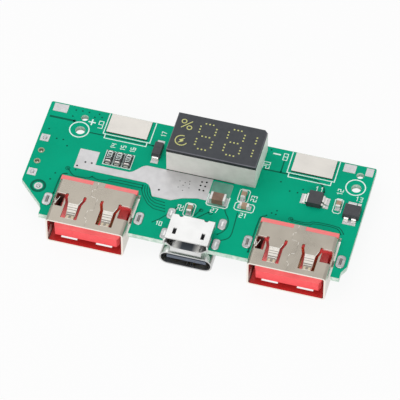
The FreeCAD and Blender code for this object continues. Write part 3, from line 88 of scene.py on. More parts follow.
class Finish:
    """A node material: a base colour with fine variation, uneven gloss and a small relief."""

    def __init__(self, name):
        self.material = bpy.data.materials.new(name)
        self.material.use_nodes = True
        self.tree = self.material.node_tree
        self.shader = self.tree.nodes["Principled BSDF"]
        self.place = self.add("ShaderNodeTexCoord").outputs["Object"]

    def add(self, kind, **fields):
        node = self.tree.nodes.new(kind)
        for field, value in fields.items():
            setattr(node, field, value)
        return node

    def link(self, source, target):
        self.tree.links.new(source, target)

    def noise(self, scale, detail=3, stretch=(1, 1, 1)):
        """Noise whose grains are 1 / scale metres across."""
        mapping = self.add("ShaderNodeMapping")
        mapping.inputs["Scale"].default_value = [scale * value for value in stretch]
        self.link(self.place, mapping.inputs["Vector"])
        noise = self.add("ShaderNodeTexNoise")
        noise.inputs["Scale"].default_value = 1.0
        noise.inputs["Detail"].default_value = detail
        self.link(mapping.outputs["Vector"], noise.inputs["Vector"])
        return noise.outputs["Fac"]

    def spread(self, factor, low, high, start=0.3, end=0.7):
        """Maps the span from start to end of a value to the span from low to high."""
        node = self.add("ShaderNodeMapRange")
        node.inputs["From Min"].default_value = start
        node.inputs["From Max"].default_value = end
        node.inputs["To Min"].default_value = low
        node.inputs["To Max"].default_value = high
        self.link(factor, node.inputs["Value"])
        return node.outputs["Result"]

    def blend(self, factor, first, second):
        """The first colour where factor is 0 and the second where it is 1."""
        node = self.add("ShaderNodeMix", data_type="RGBA")
        self.link(factor, node.inputs["Factor"])
        for key, colour in (("A", first), ("B", second)):
            socket = next(item for item in node.inputs if item.name == key and item.type == "RGBA")
            if isinstance(colour, tuple):
                socket.default_value = colour
            else:
                self.link(colour, socket)
        return next(item for item in node.outputs if item.type == "RGBA")

    def geometry(self, field, axis):
        """One axis of the surface's Normal, or of its Position in metres, in the part's frame."""
        parts = self.add("ShaderNodeSeparateXYZ")
        self.link(self.add("ShaderNodeNewGeometry").outputs[field], parts.inputs["Vector"])
        return parts.outputs[axis]

    def magnitude(self, value):
        node = self.add("ShaderNodeMath", operation="ABSOLUTE")
        self.link(value, node.inputs[0])
        return node.outputs["Value"]

    def product(self, first, second):
        node = self.add("ShaderNodeMath", operation="MULTIPLY")
        self.link(first, node.inputs[0])
        self.link(second, node.inputs[1])
        return node.outputs["Value"]

    def facing(self, axis, both=False):
        """How far the surface faces along one axis of the part, or along it either way."""
        way = self.geometry("Normal", axis)
        return self.magnitude(way) if both else way

    def colour(self, value):
        if isinstance(value, tuple):
            self.shader.inputs["Base Color"].default_value = value
        else:
            self.link(value, self.shader.inputs["Base Color"])

    def relief(self, factor, depth):
        """A bump of depth metres."""
        bump = self.add("ShaderNodeBump")
        bump.inputs["Distance"].default_value = depth
        bump.inputs["Strength"].default_value = 1.0
        self.link(factor, bump.inputs["Height"])
        self.link(bump.outputs["Normal"], self.shader.inputs["Normal"])

    def gloss(self, factor, low, high):
        """Roughness that varies between low and high."""
        self.link(self.spread(factor, low, high), self.shader.inputs["Roughness"])


def shaded(colour, share):
    """The colour at a share of its brightness."""
    return tuple(value * share for value in colour[:3]) + (1.0,)


def plain(name, colour, rough, metal=0.0, grain=2500, vary=0.12, relief=4e-6, mirror=0.5):
    """A finish of one colour with grain, uneven gloss and relief."""
    made = Finish(name)
    factor = made.noise(grain)
    made.colour(made.blend(made.spread(factor, 0, 1), shaded(colour, 1 - vary), colour))
    made.gloss(made.noise(grain * 0.4), rough * 0.8, min(1.0, rough * 1.25))
    made.relief(factor, relief)
    made.shader.inputs["Metallic"].default_value = metal
    made.shader.inputs["Specular IOR Level"].default_value = mirror
    return made.material


def board_finish():
    """Green mask on both faces, pale fibre along the cut edges."""
    made = Finish("board_mask")
    weave = made.noise(1400, detail=2)
    cloud = made.noise(120, detail=4)
    green = made.blend(made.spread(cloud, 0, 1), srgb(0, 162, 125), srgb(0, 174, 135))
    fibre = made.blend(made.spread(weave, 0, 1), srgb(176, 206, 190), srgb(226, 238, 228))
    face = made.spread(made.facing("Z", both=True), 0, 1, 0.4, 0.6)
    made.colour(made.blend(face, fibre, green))
    made.gloss(weave, 0.5, 0.62)
    made.relief(weave, 3e-6)
    made.shader.inputs["Specular IOR Level"].default_value = 0.06
    return made.material


def brushed_finish(name, colour, rough, edge=None, side=None, painted_floor_reflection=None):
    """Plated sheet with faint drawing lines and cloudy wear.

    edge is a painted highlight on cuts that face forward, which comes with painted shade on
    faces that slope a little forward; side is a painted reflection on upright faces; and the
    last colour is a painted reflection of the red tongue above on a socket's inner floor,
    which is made less metallic there.
    """
    made = Finish(name)
    lines = made.noise(700, detail=4, stretch=(8, 1, 8))
    cloud = made.noise(260, detail=3)
    tone = made.blend(made.spread(cloud, 0, 1), shaded(colour, 0.86), colour)
    made.shader.inputs["Metallic"].default_value = 1.0
    # Painted reflection: upright faces take the side colour.
    if side is not None:
        tone = made.blend(made.spread(made.facing("Z", both=True), 0, 1, 0.3, 0.6), side, tone)
    if edge is not None:
        # Painted shade on faces that slope a little forward, and a painted highlight on forward
        # cuts.
        sloped = made.spread(made.facing("Y"), 1, 0, -0.3, -0.15)
        tone = made.blend(sloped, tone, shaded(colour, 0.72))
        front = made.spread(made.facing("Y"), 1, 0, -0.85, -0.6)
        tone = made.blend(front, tone, edge)
    if painted_floor_reflection is not None:
        # Painted reflection of the red tongue on the low flat inner floor, made less metallic
        # there.
        low = made.spread(made.geometry("Position", "Z"), 1, 0, 0.36 * MM, 0.5 * MM)
        flat = made.spread(made.facing("Z"), 0, 1, 0.9, 0.98)
        floor_reflection_share = made.product(low, flat)
        tone = made.blend(floor_reflection_share, tone, painted_floor_reflection)
        made.link(made.spread(floor_reflection_share, 1, 0.1, 0, 1), made.shader.inputs["Metallic"])
    made.colour(tone)
    made.gloss(cloud, rough * 0.75, rough * 1.3)
    made.relief(lines, 2.5e-6)
    return made.material


def face_finish():
    """The display's dark cap: its face, a paler rim of painted highlight and sides of painted
    shade.
    """
    made = Finish("display_face")
    factor = made.noise(3000)
    upward = made.facing("Z")
    # Painted shade on the sides, and a painted highlight on the rounded rim between them and the
    # face.
    tone = made.blend(made.spread(upward, 0, 1, 0.2, 0.4), srgb(24, 26, 31), srgb(96, 96, 104))
    tone = made.blend(made.spread(upward, 0, 1, 0.93, 0.99), tone, srgb(45, 49, 55))
    made.colour(made.blend(made.spread(factor, 0, 0.1), tone, BLACK))
    made.gloss(made.noise(1200), 0.4, 0.62)
    made.relief(factor, 4e-6)
    return made.material


def mouth_reflection_finish():
    """The small socket's mouth floor, a painted reflection: dark about its middle, pale at its
    ends.
    """
    made = Finish("mouth_floor")
    shift = made.add("ShaderNodeMath", operation="SUBTRACT")
    made.link(made.geometry("Position", "X"), shift.inputs[0])
    shift.inputs[1].default_value = SMALL_MOUTH_X * MM
    ends = made.spread(made.magnitude(shift.outputs["Value"]), 0, 1, 0.9 * MM, 1.9 * MM)
    # Painted reflection: dark in the middle, pale towards the ends.
    made.colour(made.blend(ends, srgb(92, 98, 106), srgb(246, 244, 240)))
    grain = made.noise(1500)
    made.gloss(grain, 0.3, 0.45)
    made.relief(grain, 3e-6)
    return made.material


def case_finish():
    """Pale grey plastic, a little darker towards its right end, and painted light on its right
    face.
    """
    made = Finish("display_case")
    cloud = made.noise(700)
    along = made.spread(made.geometry("Position", "X"), 0, 1, -5.7 * MM, 9.8 * MM)
    tone = made.blend(along, srgb(223, 221, 216), srgb(192, 194, 188))
    # Painted light on the right face.
    right = made.spread(made.facing("X"), 0, 1, 0.5, 0.9)
    tone = made.blend(right, tone, srgb(246, 250, 244))
    made.colour(made.blend(made.spread(cloud, 0, 0.1), tone, BLACK))
    made.gloss(made.noise(280), 0.45, 0.68)
    made.relief(cloud, 4e-6)
    return made.material


def red_finish():
    """Red plastic: painted light makes its upward faces paler, and a painted glow lights the
    tongue.
    """
    made = Finish("red_plastic")
    grain = made.noise(1800)
    # Painted light: upward faces take the paler red.
    flat = made.spread(made.facing("Z"), 0, 1, 0.4, 0.8)
    tone = made.blend(flat, srgb(255, 92, 96), srgb(255, 128, 128))
    made.colour(made.blend(made.spread(grain, 0, 0.05), tone, BLACK))
    # A painted glow on low upward faces near the front, the tongue's; the plastic is no lamp.
    low = made.spread(made.geometry("Position", "Z"), 1, 0, 3.0 * MM, 3.4 * MM)
    ahead = made.spread(made.geometry("Position", "Y"), 1, 0, -10.5 * MM, -9.0 * MM)
    glow = made.product(made.product(low, ahead), made.spread(flat, 0, 0.42, 0, 1))
    made.link(glow, made.shader.inputs["Emission Strength"])
    made.shader.inputs["Emission Color"].default_value = srgb(255, 88, 92)
    made.gloss(made.noise(720), 0.4, 0.62)
    made.relief(grain, 4e-6)
    return made.material


FINISHES = {
    "board": board_finish(),
    "trace": plain("trace_green", srgb(0, 104, 80), 0.6, vary=0.08, mirror=0.1),
    "tin": plain("tin", srgb(201, 200, 201), 0.45, metal=0.6, grain=900, relief=1.2e-5),
    "barrel": plain("barrel_metal", srgb(152, 156, 130), 0.45, metal=0.5),
    # The plates' upright faces are darker as a painted reflection of the board beside them.
    "plate": brushed_finish("battery_plate_metal", srgb(206, 202, 196), 0.42,
                            side=srgb(104, 98, 88)),
    "solder": plain("solder", srgb(176, 178, 178), 0.2, metal=1.0, grain=1300, vary=0.3,
                    relief=3e-5),
    "cap": plain("end_cap_metal", srgb(226, 226, 224), 0.35, metal=0.5, grain=1300, vary=0.2,
                 relief=2e-5),
    # Also used on the resistors' end caps, where its dark tone is painted shade.
    "leg": brushed_finish("leg_metal_and_cap_shade", srgb(112, 112, 110), 0.3),
    # Painted reflection on upright faces, painted highlight on forward cuts, red painted floor
    # reflection.
    "steel": brushed_finish("socket_steel", srgb(162, 155, 144), 0.3, side=srgb(214, 209, 200),
                            edge=srgb(248, 240, 230), painted_floor_reflection=srgb(205, 52, 50)),
    "bright": brushed_finish("small_socket_steel", srgb(214, 214, 213), 0.3),
    "red": red_finish(),
    "black": plain("black_plastic", srgb(44, 47, 54), 0.5),
    "tongue": plain("tongue_grey", srgb(96, 104, 118), 0.5),
    "gold": plain("contact_metal", srgb(224, 200, 140), 0.3, metal=1.0),
    "case": case_finish(),
    "face": face_finish(),
    "light": plain("display_light", srgb(208, 208, 130), 0.5, vary=0.04),
    "brown": plain("ceramic_brown", srgb(176, 146, 122), 0.5, vary=0.15),
    "umber": plain("ceramic_umber", srgb(140, 108, 90), 0.5, grain=900, vary=0.35),
    "ink_black": plain("ceramic_black", srgb(20, 20, 22), 0.4, vary=0.3, grain=1500),
    "moulded": plain("moulded_black", srgb(54, 55, 59), 0.5, grain=4000, vary=0.15, relief=6e-6),
    "ferrite": plain("ferrite", srgb(82, 82, 86), 0.6, grain=3000, vary=0.2, relief=8e-6),
    "lead": brushed_finish("lead_metal", srgb(220, 218, 214), 0.3),
    "print": plain("white_print", srgb(238, 255, 250), 0.6, vary=0.03),
    "via": plain("via_dark", srgb(0, 84, 66), 0.6, mirror=0.1),
    # Dark finish of painted shade: in pits, at the display's foot and around the resistors.
    "pit": plain("painted_shade_dark", srgb(28, 27, 28), 0.6, mirror=0.1),
    # Dark seam joints, and also painted shade bands on the springs.
    "seam": plain("seam_and_shade_dark", srgb(146, 140, 131), 0.6),
    # Pale finish of painted highlights.
    "shine": plain("painted_glint", srgb(232, 228, 220), 0.3, metal=0.3),
    "field": plain("field_teal", srgb(120, 178, 158), 0.6, vary=0.3, grain=500, mirror=0.1),
    # Pale bands of painted reflection on the springs.
    "spring": plain("spring_reflection_pale", srgb(226, 221, 212), 0.4, metal=0.2),
    "mouth": mouth_reflection_finish(),
    "brass": plain("spring_brass", srgb(236, 220, 190), 0.4, metal=0.2),
    "shade": plain("inner_shade", srgb(104, 66, 60), 0.5),
}

NODE_FINISHES = [
    ("circuit_board", "board"), ("heat_area", "tin"), ("solder_lands", "tin"),
    ("part_lands", "tin"), ("under_lands", "tin"), ("lamp_barrels", "barrel"),
    ("battery_plate", "plate"), ("large_socket_solder", "solder"),
    ("oval_socket_solder", "solder"),
    ("solder_plugs", "solder"), ("display_pin_solder", "solder"),
    ("large_socket_left_shell", "steel"), ("large_socket_right_shell", "steel"),
    ("large_socket_left_insert", "red"), ("large_socket_right_insert", "red"),
    ("large_socket_left_contacts", "gold"), ("large_socket_right_contacts", "gold"),
    ("micro_socket_shell", "bright"), ("micro_socket_insert", "black"),
    ("micro_socket_contacts", "gold"), ("oval_socket_shell", "bright"),
    ("oval_socket_insert", "tongue"), ("oval_socket_contacts", "gold"),
    ("display_body", "case"), ("display_cap", "face"), ("display_lenses", "light"),
    # The resistors' end caps take the dark leg metal as painted shade.
    ("display_pins", "lead"), ("resistor_caps", "leg"), ("resistor", "ink_black"),
    ("capacitor_caps", "cap"), ("under_capacitor_caps", "cap"),
    ("capacitor_large", "umber"), ("capacitor", "brown"), ("under_capacitor", "brown"),
    ("diode_leads", "lead"), ("battery_switch_leads", "lead"), ("guard_chip_leads", "lead"),
    ("controller_leads", "lead"), ("coil_terminals", "tin"), ("coil_body", "ferrite"),
    ("diode_body", "moulded"), ("battery_switch_body", "moulded"),
    ("guard_chip_body", "moulded"), ("controller_body", "moulded"),
]


def finish_of(name):
    """The finish of the first row whose text the node's name starts with."""
    return next(finish for start, finish in NODE_FINISHES if name.startswith(start))


for name, thing in NODES.items():
    finish = FINISHES[finish_of(name)]
    if not thing.material_slots:
        thing.data.materials.append(finish)
    for slot in thing.material_slots:
        slot.link = "OBJECT"
        slot.material = finish


# Widths of the rounded edges on the pieces that catch the light

EASED = {
    "large_socket_left_shell": 0.05, "large_socket_right_shell": 0.05,
    "large_socket_left_insert": 0.06, "large_socket_right_insert": 0.06,
    "micro_socket_shell": 0.05, "oval_socket_shell": 0.04, "display_body": 0.12,
    "display_cap": 0.14, "battery_plate_left": 0.05, "battery_plate_right": 0.05,
    "diode_body": 0.06, "battery_switch_body": 0.06, "guard_chip_body": 0.06,
    "controller_body": 0.06, "coil_body": 0.15, "capacitor_caps": 0.06, "resistor_caps": 0.04,
    "capacitor_large": 0.05, "micro_socket_insert": 0.04, "oval_socket_insert": 0.04,
}
for name, width in EASED.items():
    edge = NODES[name].modifiers.new("eased", "BEVEL")
    edge.width = width * MM
    edge.segments = 2
    edge.limit_method = "ANGLE"
    edge.angle_limit = math.radians(35)
    edge.harden_normals = True


# Thin detail that lies on the board and on the sockets

class Layer:
    """One mesh of thin flat pieces, built from outlines in the board's millimetres."""

    def __init__(self, name, finish, slot):
        self.name = name
        self.finish = finish
        self.slot = slot
        self.mesh = bmesh.new()

    def point(self, across, up, height):
        """A point of the board's millimetres in the part's frame, in metres."""
        return Vector(((across + BOARD_LEFT) * MM, (up + BOARD_FRONT) * MM, height * MM))

    def slab(self, outline, low, high):
        """A flat piece with that outline between two heights above the part's base."""
        base = [self.mesh.verts.new(self.point(*spot, low)) for spot in outline]
        top = [self.mesh.verts.new(self.point(*spot, high)) for spot in outline]
        self.mesh.faces.new(reversed(base))
        self.mesh.faces.new(top)
        count = len(outline)
        for turn in range(count):
            after = (turn + 1) % count
            self.mesh.faces.new((base[turn], base[after], top[after], top[turn]))

    def slope(self, outline, high, drop):
        """A thin strip whose front edge lies lower than its back edge, about a middle height."""
        back = max(spot[1] for spot in outline)
        corners = []
        for across, up in outline:
            level = high + (drop if up == back else -drop)
            corners.append((self.mesh.verts.new(self.point(across, up, level - SLOPE_THICK)),
                            self.mesh.verts.new(self.point(across, up, level))))
        self.mesh.faces.new([low for low, _ in reversed(corners)])
        self.mesh.faces.new([top for _, top in corners])
        for turn, (low, top) in enumerate(corners):
            next_low, next_top = corners[(turn + 1) % len(corners)]
            self.mesh.faces.new((low, next_low, next_top, top))

    def disc(self, centre, radius, low=BOARD_TOP, high=BOARD_TOP + LIFT, count=14):
        self.slab(round_path(centre, radius, count), low, high)

    def line(self, path, width, closed=False, low=BOARD_TOP, high=BOARD_TOP + LIFT):
        """A strip of even width along a path, mitred at its bends."""
        sides = offset_path(path, width, closed)
        count = len(path)
        for turn in range(count if closed else count - 1):
            after = (turn + 1) % count
            outline = [sides[turn][0], sides[turn][1], sides[after][1], sides[after][0]]
            self.slab(outline, low, high)

    def ring(self, centre, radius, width, low=BOARD_TOP, high=BOARD_TOP + LIFT, count=32):
        self.line(round_path(centre, radius, count), width, True, low, high)

    def done(self):
        """Turns the pieces into one object of the scene."""
        data = bpy.data.meshes.new(self.name)
        bmesh.ops.recalc_face_normals(self.mesh, faces=self.mesh.faces[:])
        self.mesh.to_mesh(data)
        self.mesh.free()
        thing = bpy.data.objects.new(self.name, data)
        thing.data.materials.append(FINISHES[self.finish])
        bpy.context.scene.collection.objects.link(thing)
        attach(thing, "root")


def between(first, second, share):
    """The point at a share of the way from the first to the second."""
    return (first[0] + (second[0] - first[0]) * share, first[1] + (second[1] - first[1]) * share)


def round_path(centre, radius, count):
    """A closed path of count points around a centre."""
    angles = [2 * math.pi * turn / count for turn in range(count)]
    return [(centre[0] + radius * math.cos(angle), centre[1] + radius * math.sin(angle))
            for angle in angles]


def offset_path(path, width, closed):
    """The two sides of a strip along path."""
    count = len(path)
    sides = []
    for turn, spot in enumerate(path):
        here = Vector(spot)
        before = Vector(path[turn - 1]) if turn or closed else None
        after = Vector(path[(turn + 1) % count]) if turn < count - 1 or closed else None
        ways = []
        if before is not None:
            ways.append((here - before).normalized())
        if after is not None:
            ways.append((after - here).normalized())
        normals = [Vector((-way.y, way.x)) for way in ways]
        middle = sum(normals, Vector((0, 0))).normalized()
        reach = width / 2 / max(0.4, middle.dot(normals[0]))
        sides.append((tuple(here + middle * reach), tuple(here - middle * reach)))
    return sides


def box_path(left, right, low, high, ease=0.0):
    """A rectangle, with its corners cut by ease."""
    if not ease:
        return [(left, low), (right, low), (right, high), (left, high)]
    return [
        (left + ease, low), (right - ease, low), (right, low + ease), (right, high - ease),
        (right - ease, high), (left + ease, high), (left, high - ease), (left, low + ease),
    ]


def smooth(points):
    """Cuts the corners of an open path, so that it bends softly."""
    cut = [points[0]]
    for first, second in zip(points, points[1:]):
        cut += [between(first, second, 0.25), between(first, second, 0.75)]
    return cut + [points[-1]]


# Strokes of plain digits in a cell one wide and two high
STROKES = {
    "0": [[(0, 0), (1, 0), (1, 2), (0, 2), (0, 0)]],
    "1": [[(0.2, 1.6), (0.6, 2), (0.6, 0)]],
    "2": [[(0, 2), (1, 2), (1, 1), (0, 1), (0, 0), (1, 0)]],
    "3": [[(0, 2), (1, 2), (1, 0), (0, 0)], [(0.2, 1), (1, 1)]],
    "4": [[(0, 2), (0, 1), (1, 1)], [(1, 2), (1, 0)]],
    "5": [[(1, 2), (0, 2), (0, 1), (1, 1), (1, 0), (0, 0)]],
    "6": [[(1, 2), (0, 2), (0, 0), (1, 0), (1, 1), (0, 1)]],
    "7": [[(0, 2), (1, 2), (0.4, 0)]],
    "8": [[(0, 0), (1, 0), (1, 2), (0, 2), (0, 0)], [(0, 1), (1, 1)]],
    "9": [[(1, 1), (0, 1), (0, 2), (1, 2), (1, 0), (0, 0)]],
}


def write(layer, digits, centre, high, turn, width=0.13, level=BOARD_TOP):
    """Plain digits of a height about a centre, turned by turn degrees."""
    cell = high / 2
    long = len(digits) * cell * 1.5 - cell * 0.5
    angle = math.radians(turn)
    for place, digit in enumerate(digits):
        for stroke in STROKES[digit]:
            path = []
            for across, up in stroke:
                shift = place * cell * 1.5 + across * cell - long / 2
                rise = up * cell - high / 2
                path.append((centre[0] + shift * math.cos(angle) - rise * math.sin(angle),
                             centre[1] + shift * math.sin(angle) + rise * math.cos(angle)))
            closed = path[0] == path[-1]
            layer.line(path[:-1] if closed else path, width, closed, level, level + LIFT)


def silk():
    """White print: rings at the holes, signs and outlines at the plates, boxes at the parts."""
    layer = Layer("white_print", "print", "display_case")
    for centre in ((6.2, 19.15), (54.45, 19.2)):
        layer.ring(centre, 1.65, 0.2)
    layer.line([(7.2, 21.25), (8.5, 21.25)], 0.24)
    layer.line([(7.85, 20.6), (7.85, 21.13)], 0.24)
    layer.line([(7.85, 21.37), (7.85, 21.9)], 0.24)
    layer.line([(39.3, 22.75), (40.6, 22.75)], 0.28)
    for left in (10.35, 42.5):
        layer.line([(left, 23.9), (left, 19.4), (left + 8.2, 19.4), (left + 8.2, 23.9)], 0.16)
        layer.line([(left + 0.4, 19.3), (left + 0.4, 18.5), (left + 7.75, 18.5),
                    (left + 7.75, 19.3)], 0.16)
    for left in (12.05, 13.68, 15.3):
        layer.line(box_path(left, left + 1.55, 13.05, 16.05), 0.14, closed=True)
    for left, right, low, high in (
            (27.95, 29.65, 5.95, 8.75), (35.95, 37.7, 11.25, 13.95), (35.85, 39.15, 9.4, 11.1),
            (51.85, 53.2, 13.05, 16.15)):
        layer.line(box_path(left, right, low, high, 0.3), 0.14, closed=True)
    layer.line([(31.1, 11.6), (31.1, 9.45), (31.4, 9.15), (34.4, 9.15), (34.7, 9.45),
                (34.7, 11.6)], 0.16)
    labels = [
        ("9", (9.45, 21.1), 1.5, 0), ("8", (41.5, 22.5), 1.4, 0), ("14", (12.8, 17.2), 0.8, 90),
        ("15", (14.5, 17.2), 0.8, 90), ("16", (16.2, 17.2), 0.8, 90), ("22", (27.2, 7.4), 0.9, 90),
        ("27", (32.8, 8.3), 0.9, 0), ("23", (38.6, 12.4), 0.9, 90), ("21", (37.7, 8.5), 0.9, 0),
        ("20", (38.8, 20.0), 1.1, 90), ("11", (48.65, 17.2), 1.1, 0),
        ("12", (52.2, 17.6), 0.9, 90), ("13", (55.6, 16.9), 0.9, 0),
        ("17", (20.4, 21.9), 0.8, 90), ("10", (24.6, 3.3), 0.8, 0),
    ]
    for digits, centre, high, turn in labels:
        write(layer, digits, centre, high, turn)
    layer.done()


def resistor_marks():
    """Plain digits on the three resistors, glints at their ends, and the shade around them."""
    layer = Layer("resistor_print", "print", "display_case")
    for across in RESISTOR_CENTRES:
        write(layer, "100", (across, 14.7), 0.74, 90, 0.085, level=RESISTOR_TOP)
    layer.done()
    ends = Layer("resistor_glints", "shine", "solder")
    shade = Layer("resistor_shades", "pit", "tin")
    for across in RESISTOR_CENTRES:
        for half, front, back, low, high in (
                (0.38, 13.5, 13.74, RESISTOR_TOP, 4.7), (0.38, 13.21, 13.245, 4.19, 4.52),
                (0.3, 15.5, 15.68, RESISTOR_TOP, 4.7)):
            ends.slab(box_path(across - half, across + half, front, back), low, high)
        shade.slab(box_path(across - 0.66, across + 0.66, 13.12, 15.95), BOARD_TOP, OVER_TIN)
    ends.done()
    shade.done()


def tracks_and_socket_shadows():
    """Tracks seen through the mask as darker green, and painted shadow left of the large sockets.
    """
    layer = Layer("board_tracks_and_shadows", "trace", "board_mask")
    low = BOARD_TOP
    high = BOARD_TOP + THIN
    track_and_shadow_runs = [
        ([(0.5, 20.75), (4.9, 20.75)], 0.35),
        ([(8.0, 19.0), (19.3, 19.0)], 0.22),
        ([(38.5, 19.05), (47.6, 19.05), (48.6, 18.5), (49.5, 17.5), (49.55, 16.8)], 0.25),
        ([(41.5, 21.8), (41.5, 19.2)], 0.2),
        ([(6.85, 10.5), (7.9, 9.3), (8.8, 9.25), (10.6, 9.35), (11.1, 9.9)], 0.15),
        ([(11.2, 9.9), (12.2, 9.45), (14.1, 9.8), (19.9, 9.75)], 0.15),
        ([(13.9, 9.95), (14.6, 10.35), (19.9, 10.35)], 0.15),
        ([(29.9, 6.3), (30.65, 7.9)], 0.16),
        ([(30.4, 6.0), (32.0, 7.7)], 0.16),
        ([(34.3, 9.5), (34.75, 8.3), (35.6, 7.2), (35.9, 5.5), (35.3, 4.2), (34.6, 3.6)], 0.16),
        ([(36.7, 8.9), (36.85, 6.0), (36.9, 4.0), (36.5, 3.1), (35.3, 2.4)], 0.16),
        # This run and the next are painted shadow along the left sides of the large sockets.
        ([(41.4, 9.4), (40.85, 9.25), (40.5, 8.6), (40.45, 1.4)], 0.22),
        ([(7.0, 9.5), (6.3, 9.3), (5.95, 8.6), (5.9, 4.8)], 0.22),
        ([(45.6, 9.95), (46.3, 9.75), (48.6, 9.75), (49.3, 10.4), (53.6, 10.4), (54.4, 9.75),
          (54.8, 9.1)], 0.14),
        ([(45.8, 9.45), (48.9, 9.4), (49.5, 10.05), (53.4, 10.05), (54.1, 9.45), (54.4, 8.9)],
         0.14),
        ([(23.4, 3.2), (24.9, 4.6), (26.6, 7.3)], 0.16),
    ]
    for turn in range(4):
        shift = 0.62 * turn
        track_and_shadow_runs.append(([(19.9 + shift * 0.6, 10.5), (20.0 + shift * 0.8, 8.9),
                      (22.2 + shift * 0.1, 6.1 + shift), (24.9 - shift * 0.3, 5.9 + shift)], 0.13))
    for path, width in track_and_shadow_runs:
        layer.line(smooth(path), width * 1.15, low=low, high=high)
        layer.disc(path[-1], width * 0.85, low, high, count=12)
    layer.ring((6.7, 10.6), 0.35, 0.14, low, high)
    layer.ring((45.6, 9.9), 0.35, 0.14, low, high)
    layer.ring((32.4, 7.6), 0.3, 0.14, low, high)
    layer.ring((30.7, 7.8), 0.3, 0.14, low, high)
    layer.ring((2.95, 5.7), 1.15, 0.45, low, high)
    layer.done()


def display_foot_shade():
    """Painted shade at the foot of the display, between it and the heat area in front of it."""
    layer = Layer("display_foot_shade", "pit", "tin")
    layer.line([(22.9, 14.66), (34.6, 14.66)], 0.11, low=OVER_TIN, high=OVER_TIN + THIN)
    layer.done()


def teal_field():
    """The bare looking copper under the large capacitor, seen through the mask."""
    layer = Layer("teal_field", "field", "board_mask")
    layer.slab(box_path(31.15, 34.65, 9.3, 14.35, 0.2), BOARD_TOP, BOARD_TOP + THIN)
    layer.done()


VIAS = [
    (4.5, 23.1), (5.65, 23.2), (6.8, 23.2), (8.6, 23.25), (9.2, 22.7), (8.0, 22.4), (4.3, 21.7),
    (1.2, 18.0), (3.05, 16.3), (4.2, 16.35), (5.2, 15.2), (4.95, 9.05), (4.5, 7.6), (8.05, 10.6),
    (42.05, 17.15), (46.05, 16.5), (45.3, 15.6), (43.95, 15.6), (42.95, 11.0), (42.2, 10.3),
    (42.95, 10.2), (41.5, 9.6), (38.8, 23.4), (53.2, 23.2), (6.7, 10.6), (11.2, 9.9), (45.6, 9.9),
]
TIN_VIAS = [
    (9.2, 12.6), (10.3, 12.65), (8.05, 11.5), (22.75, 10.1), (29.3, 13.6), (30.1, 13.7),
    (29.25, 12.8), (30.05, 12.8), (29.3, 11.85), (30.0, 11.85),
]
SMALL_TIN_VIAS = [
    (25.65, 12.85), (27.5, 11.8), (26.4, 12.1), (26.6, 12.7), (25.7, 11.5), (26.6, 11.0),
    (27.3, 13.2), (27.4, 12.6),
]


def via_marks():
    """Plated through points: dark dots on the mask."""
    layer = Layer("via_dots", "via", "board_mask")
    for centre in VIAS:
        layer.disc(centre, 0.15)
    layer.done()


def tin_pits():
    """Small pits where the heat area's through points drew the tin in, as discs of painted shade.
    """
    layer = Layer("tin_pits", "pit", "tin")
    for centre in TIN_VIAS:
        layer.disc(centre, 0.17, TIN_TOP, TIN_TOP + LIFT)
    for centre in SMALL_TIN_VIAS:
        layer.disc(centre, 0.09, TIN_TOP, TIN_TOP + LIFT, count=10)
    layer.done()


def socket_seams():
    """The wavy joint where each large socket's folded sheet meets, broken by painted highlights.
    """
    lines = Layer("socket_seams", "seam", "socket_steel")
    spots = Layer("socket_seam_glints", "shine", "socket_steel")
    shape = [(-0.2, 7.85), (-0.2, 6.2), (-0.75, 6.0), (-0.75, 4.6), (0.55, 4.4), (0.55, 1.9),
             (-0.3, 1.7), (-0.5, 0.1), (0.0, -0.3), (0.0, -1.93)]
    for centre in SOCKET_CENTRES:
        path = [(centre + across, up) for across, up in shape]
        for first, second in zip(path, path[1:]):
            pieces = max(1, round(math.dist(first, second) / 0.9))
            for turn in range(pieces):
                ends = [between(first, second, (turn + share) / pieces) for share in (0.1, 0.72)]
                layer = spots if turn % 3 == 0 else lines
                layer.line(ends, 0.07, low=SHELL_TOP, high=SHELL_TOP + THIN)
    lines.done()
    spots.done()


def spring_glints():
    """Painted highlight and shade in bands across each upper spring, where its sheet bends down.
    """
    layers = {
        "shine": Layer("spring_glints", "shine", "socket_steel"),
        "spring": Layer("spring_painted_bands", "spring", "socket_steel"),
        "seam": Layer("spring_shades", "seam", "socket_steel"),
        "brass": Layer("spring_tips", "brass", "contact_metal"),
    }
    # Where the spring bends down and where it is lowest, as place, height and half width, and
    # its tip as place and height.
    bend = (2.24, SHELL_TOP, 0.89)
    crest = (0.3, 4.97, 0.7)
    tip = (-0.4, 5.17)
    # Each band's finish, and its begin and end as shares of the way from bend to crest.
    bands = [
        ("shine", -0.05, 0.07), ("spring", 0.07, 0.27), ("seam", 0.27, 0.32),
        ("spring", 0.32, 0.46), ("seam", 0.46, 0.51), ("spring", 0.51, 0.7),
        ("seam", 0.7, 0.8), ("shine", 0.8, 0.86), ("seam", 0.86, 0.95),
    ]
    for centre in SOCKET_CENTRES:
        for side in (-1, 1):
            across = centre + SPRING_OFFSET * side
            for finish, begin, end in bands:
                share = (begin + end) / 2
                up, high, half = (bend[turn] + (crest[turn] - bend[turn]) * share
                                  for turn in range(3))
                deep = (end - begin) / 2 * (bend[0] - crest[0])
                drop = deep * (bend[1] - crest[1]) / (bend[0] - crest[0]) if begin > 0 else 0.0
                outline = box_path(across - half, across + half, up - deep, up + deep)
                layers[finish].slope(outline, high + LIFT, drop)
            for hand in (-1, 1):
                spot = across + 0.42 * hand
                outline = box_path(spot - 0.2, spot + 0.2, tip[0], crest[0])
                layers["brass"].slope(outline, (tip[1] + crest[1]) / 2 + LIFT,
                                      (crest[1] - tip[1]) / 2)
            # A painted highlight along the spring's right edge.
            layers["shine"].line([(across + 1.24, 3.3), (across + bend[2] - 0.04, bend[0])], 0.1,
                                 low=bend[1] - 0.01, high=bend[1] + THIN)
    for layer in layers.values():
        layer.done()


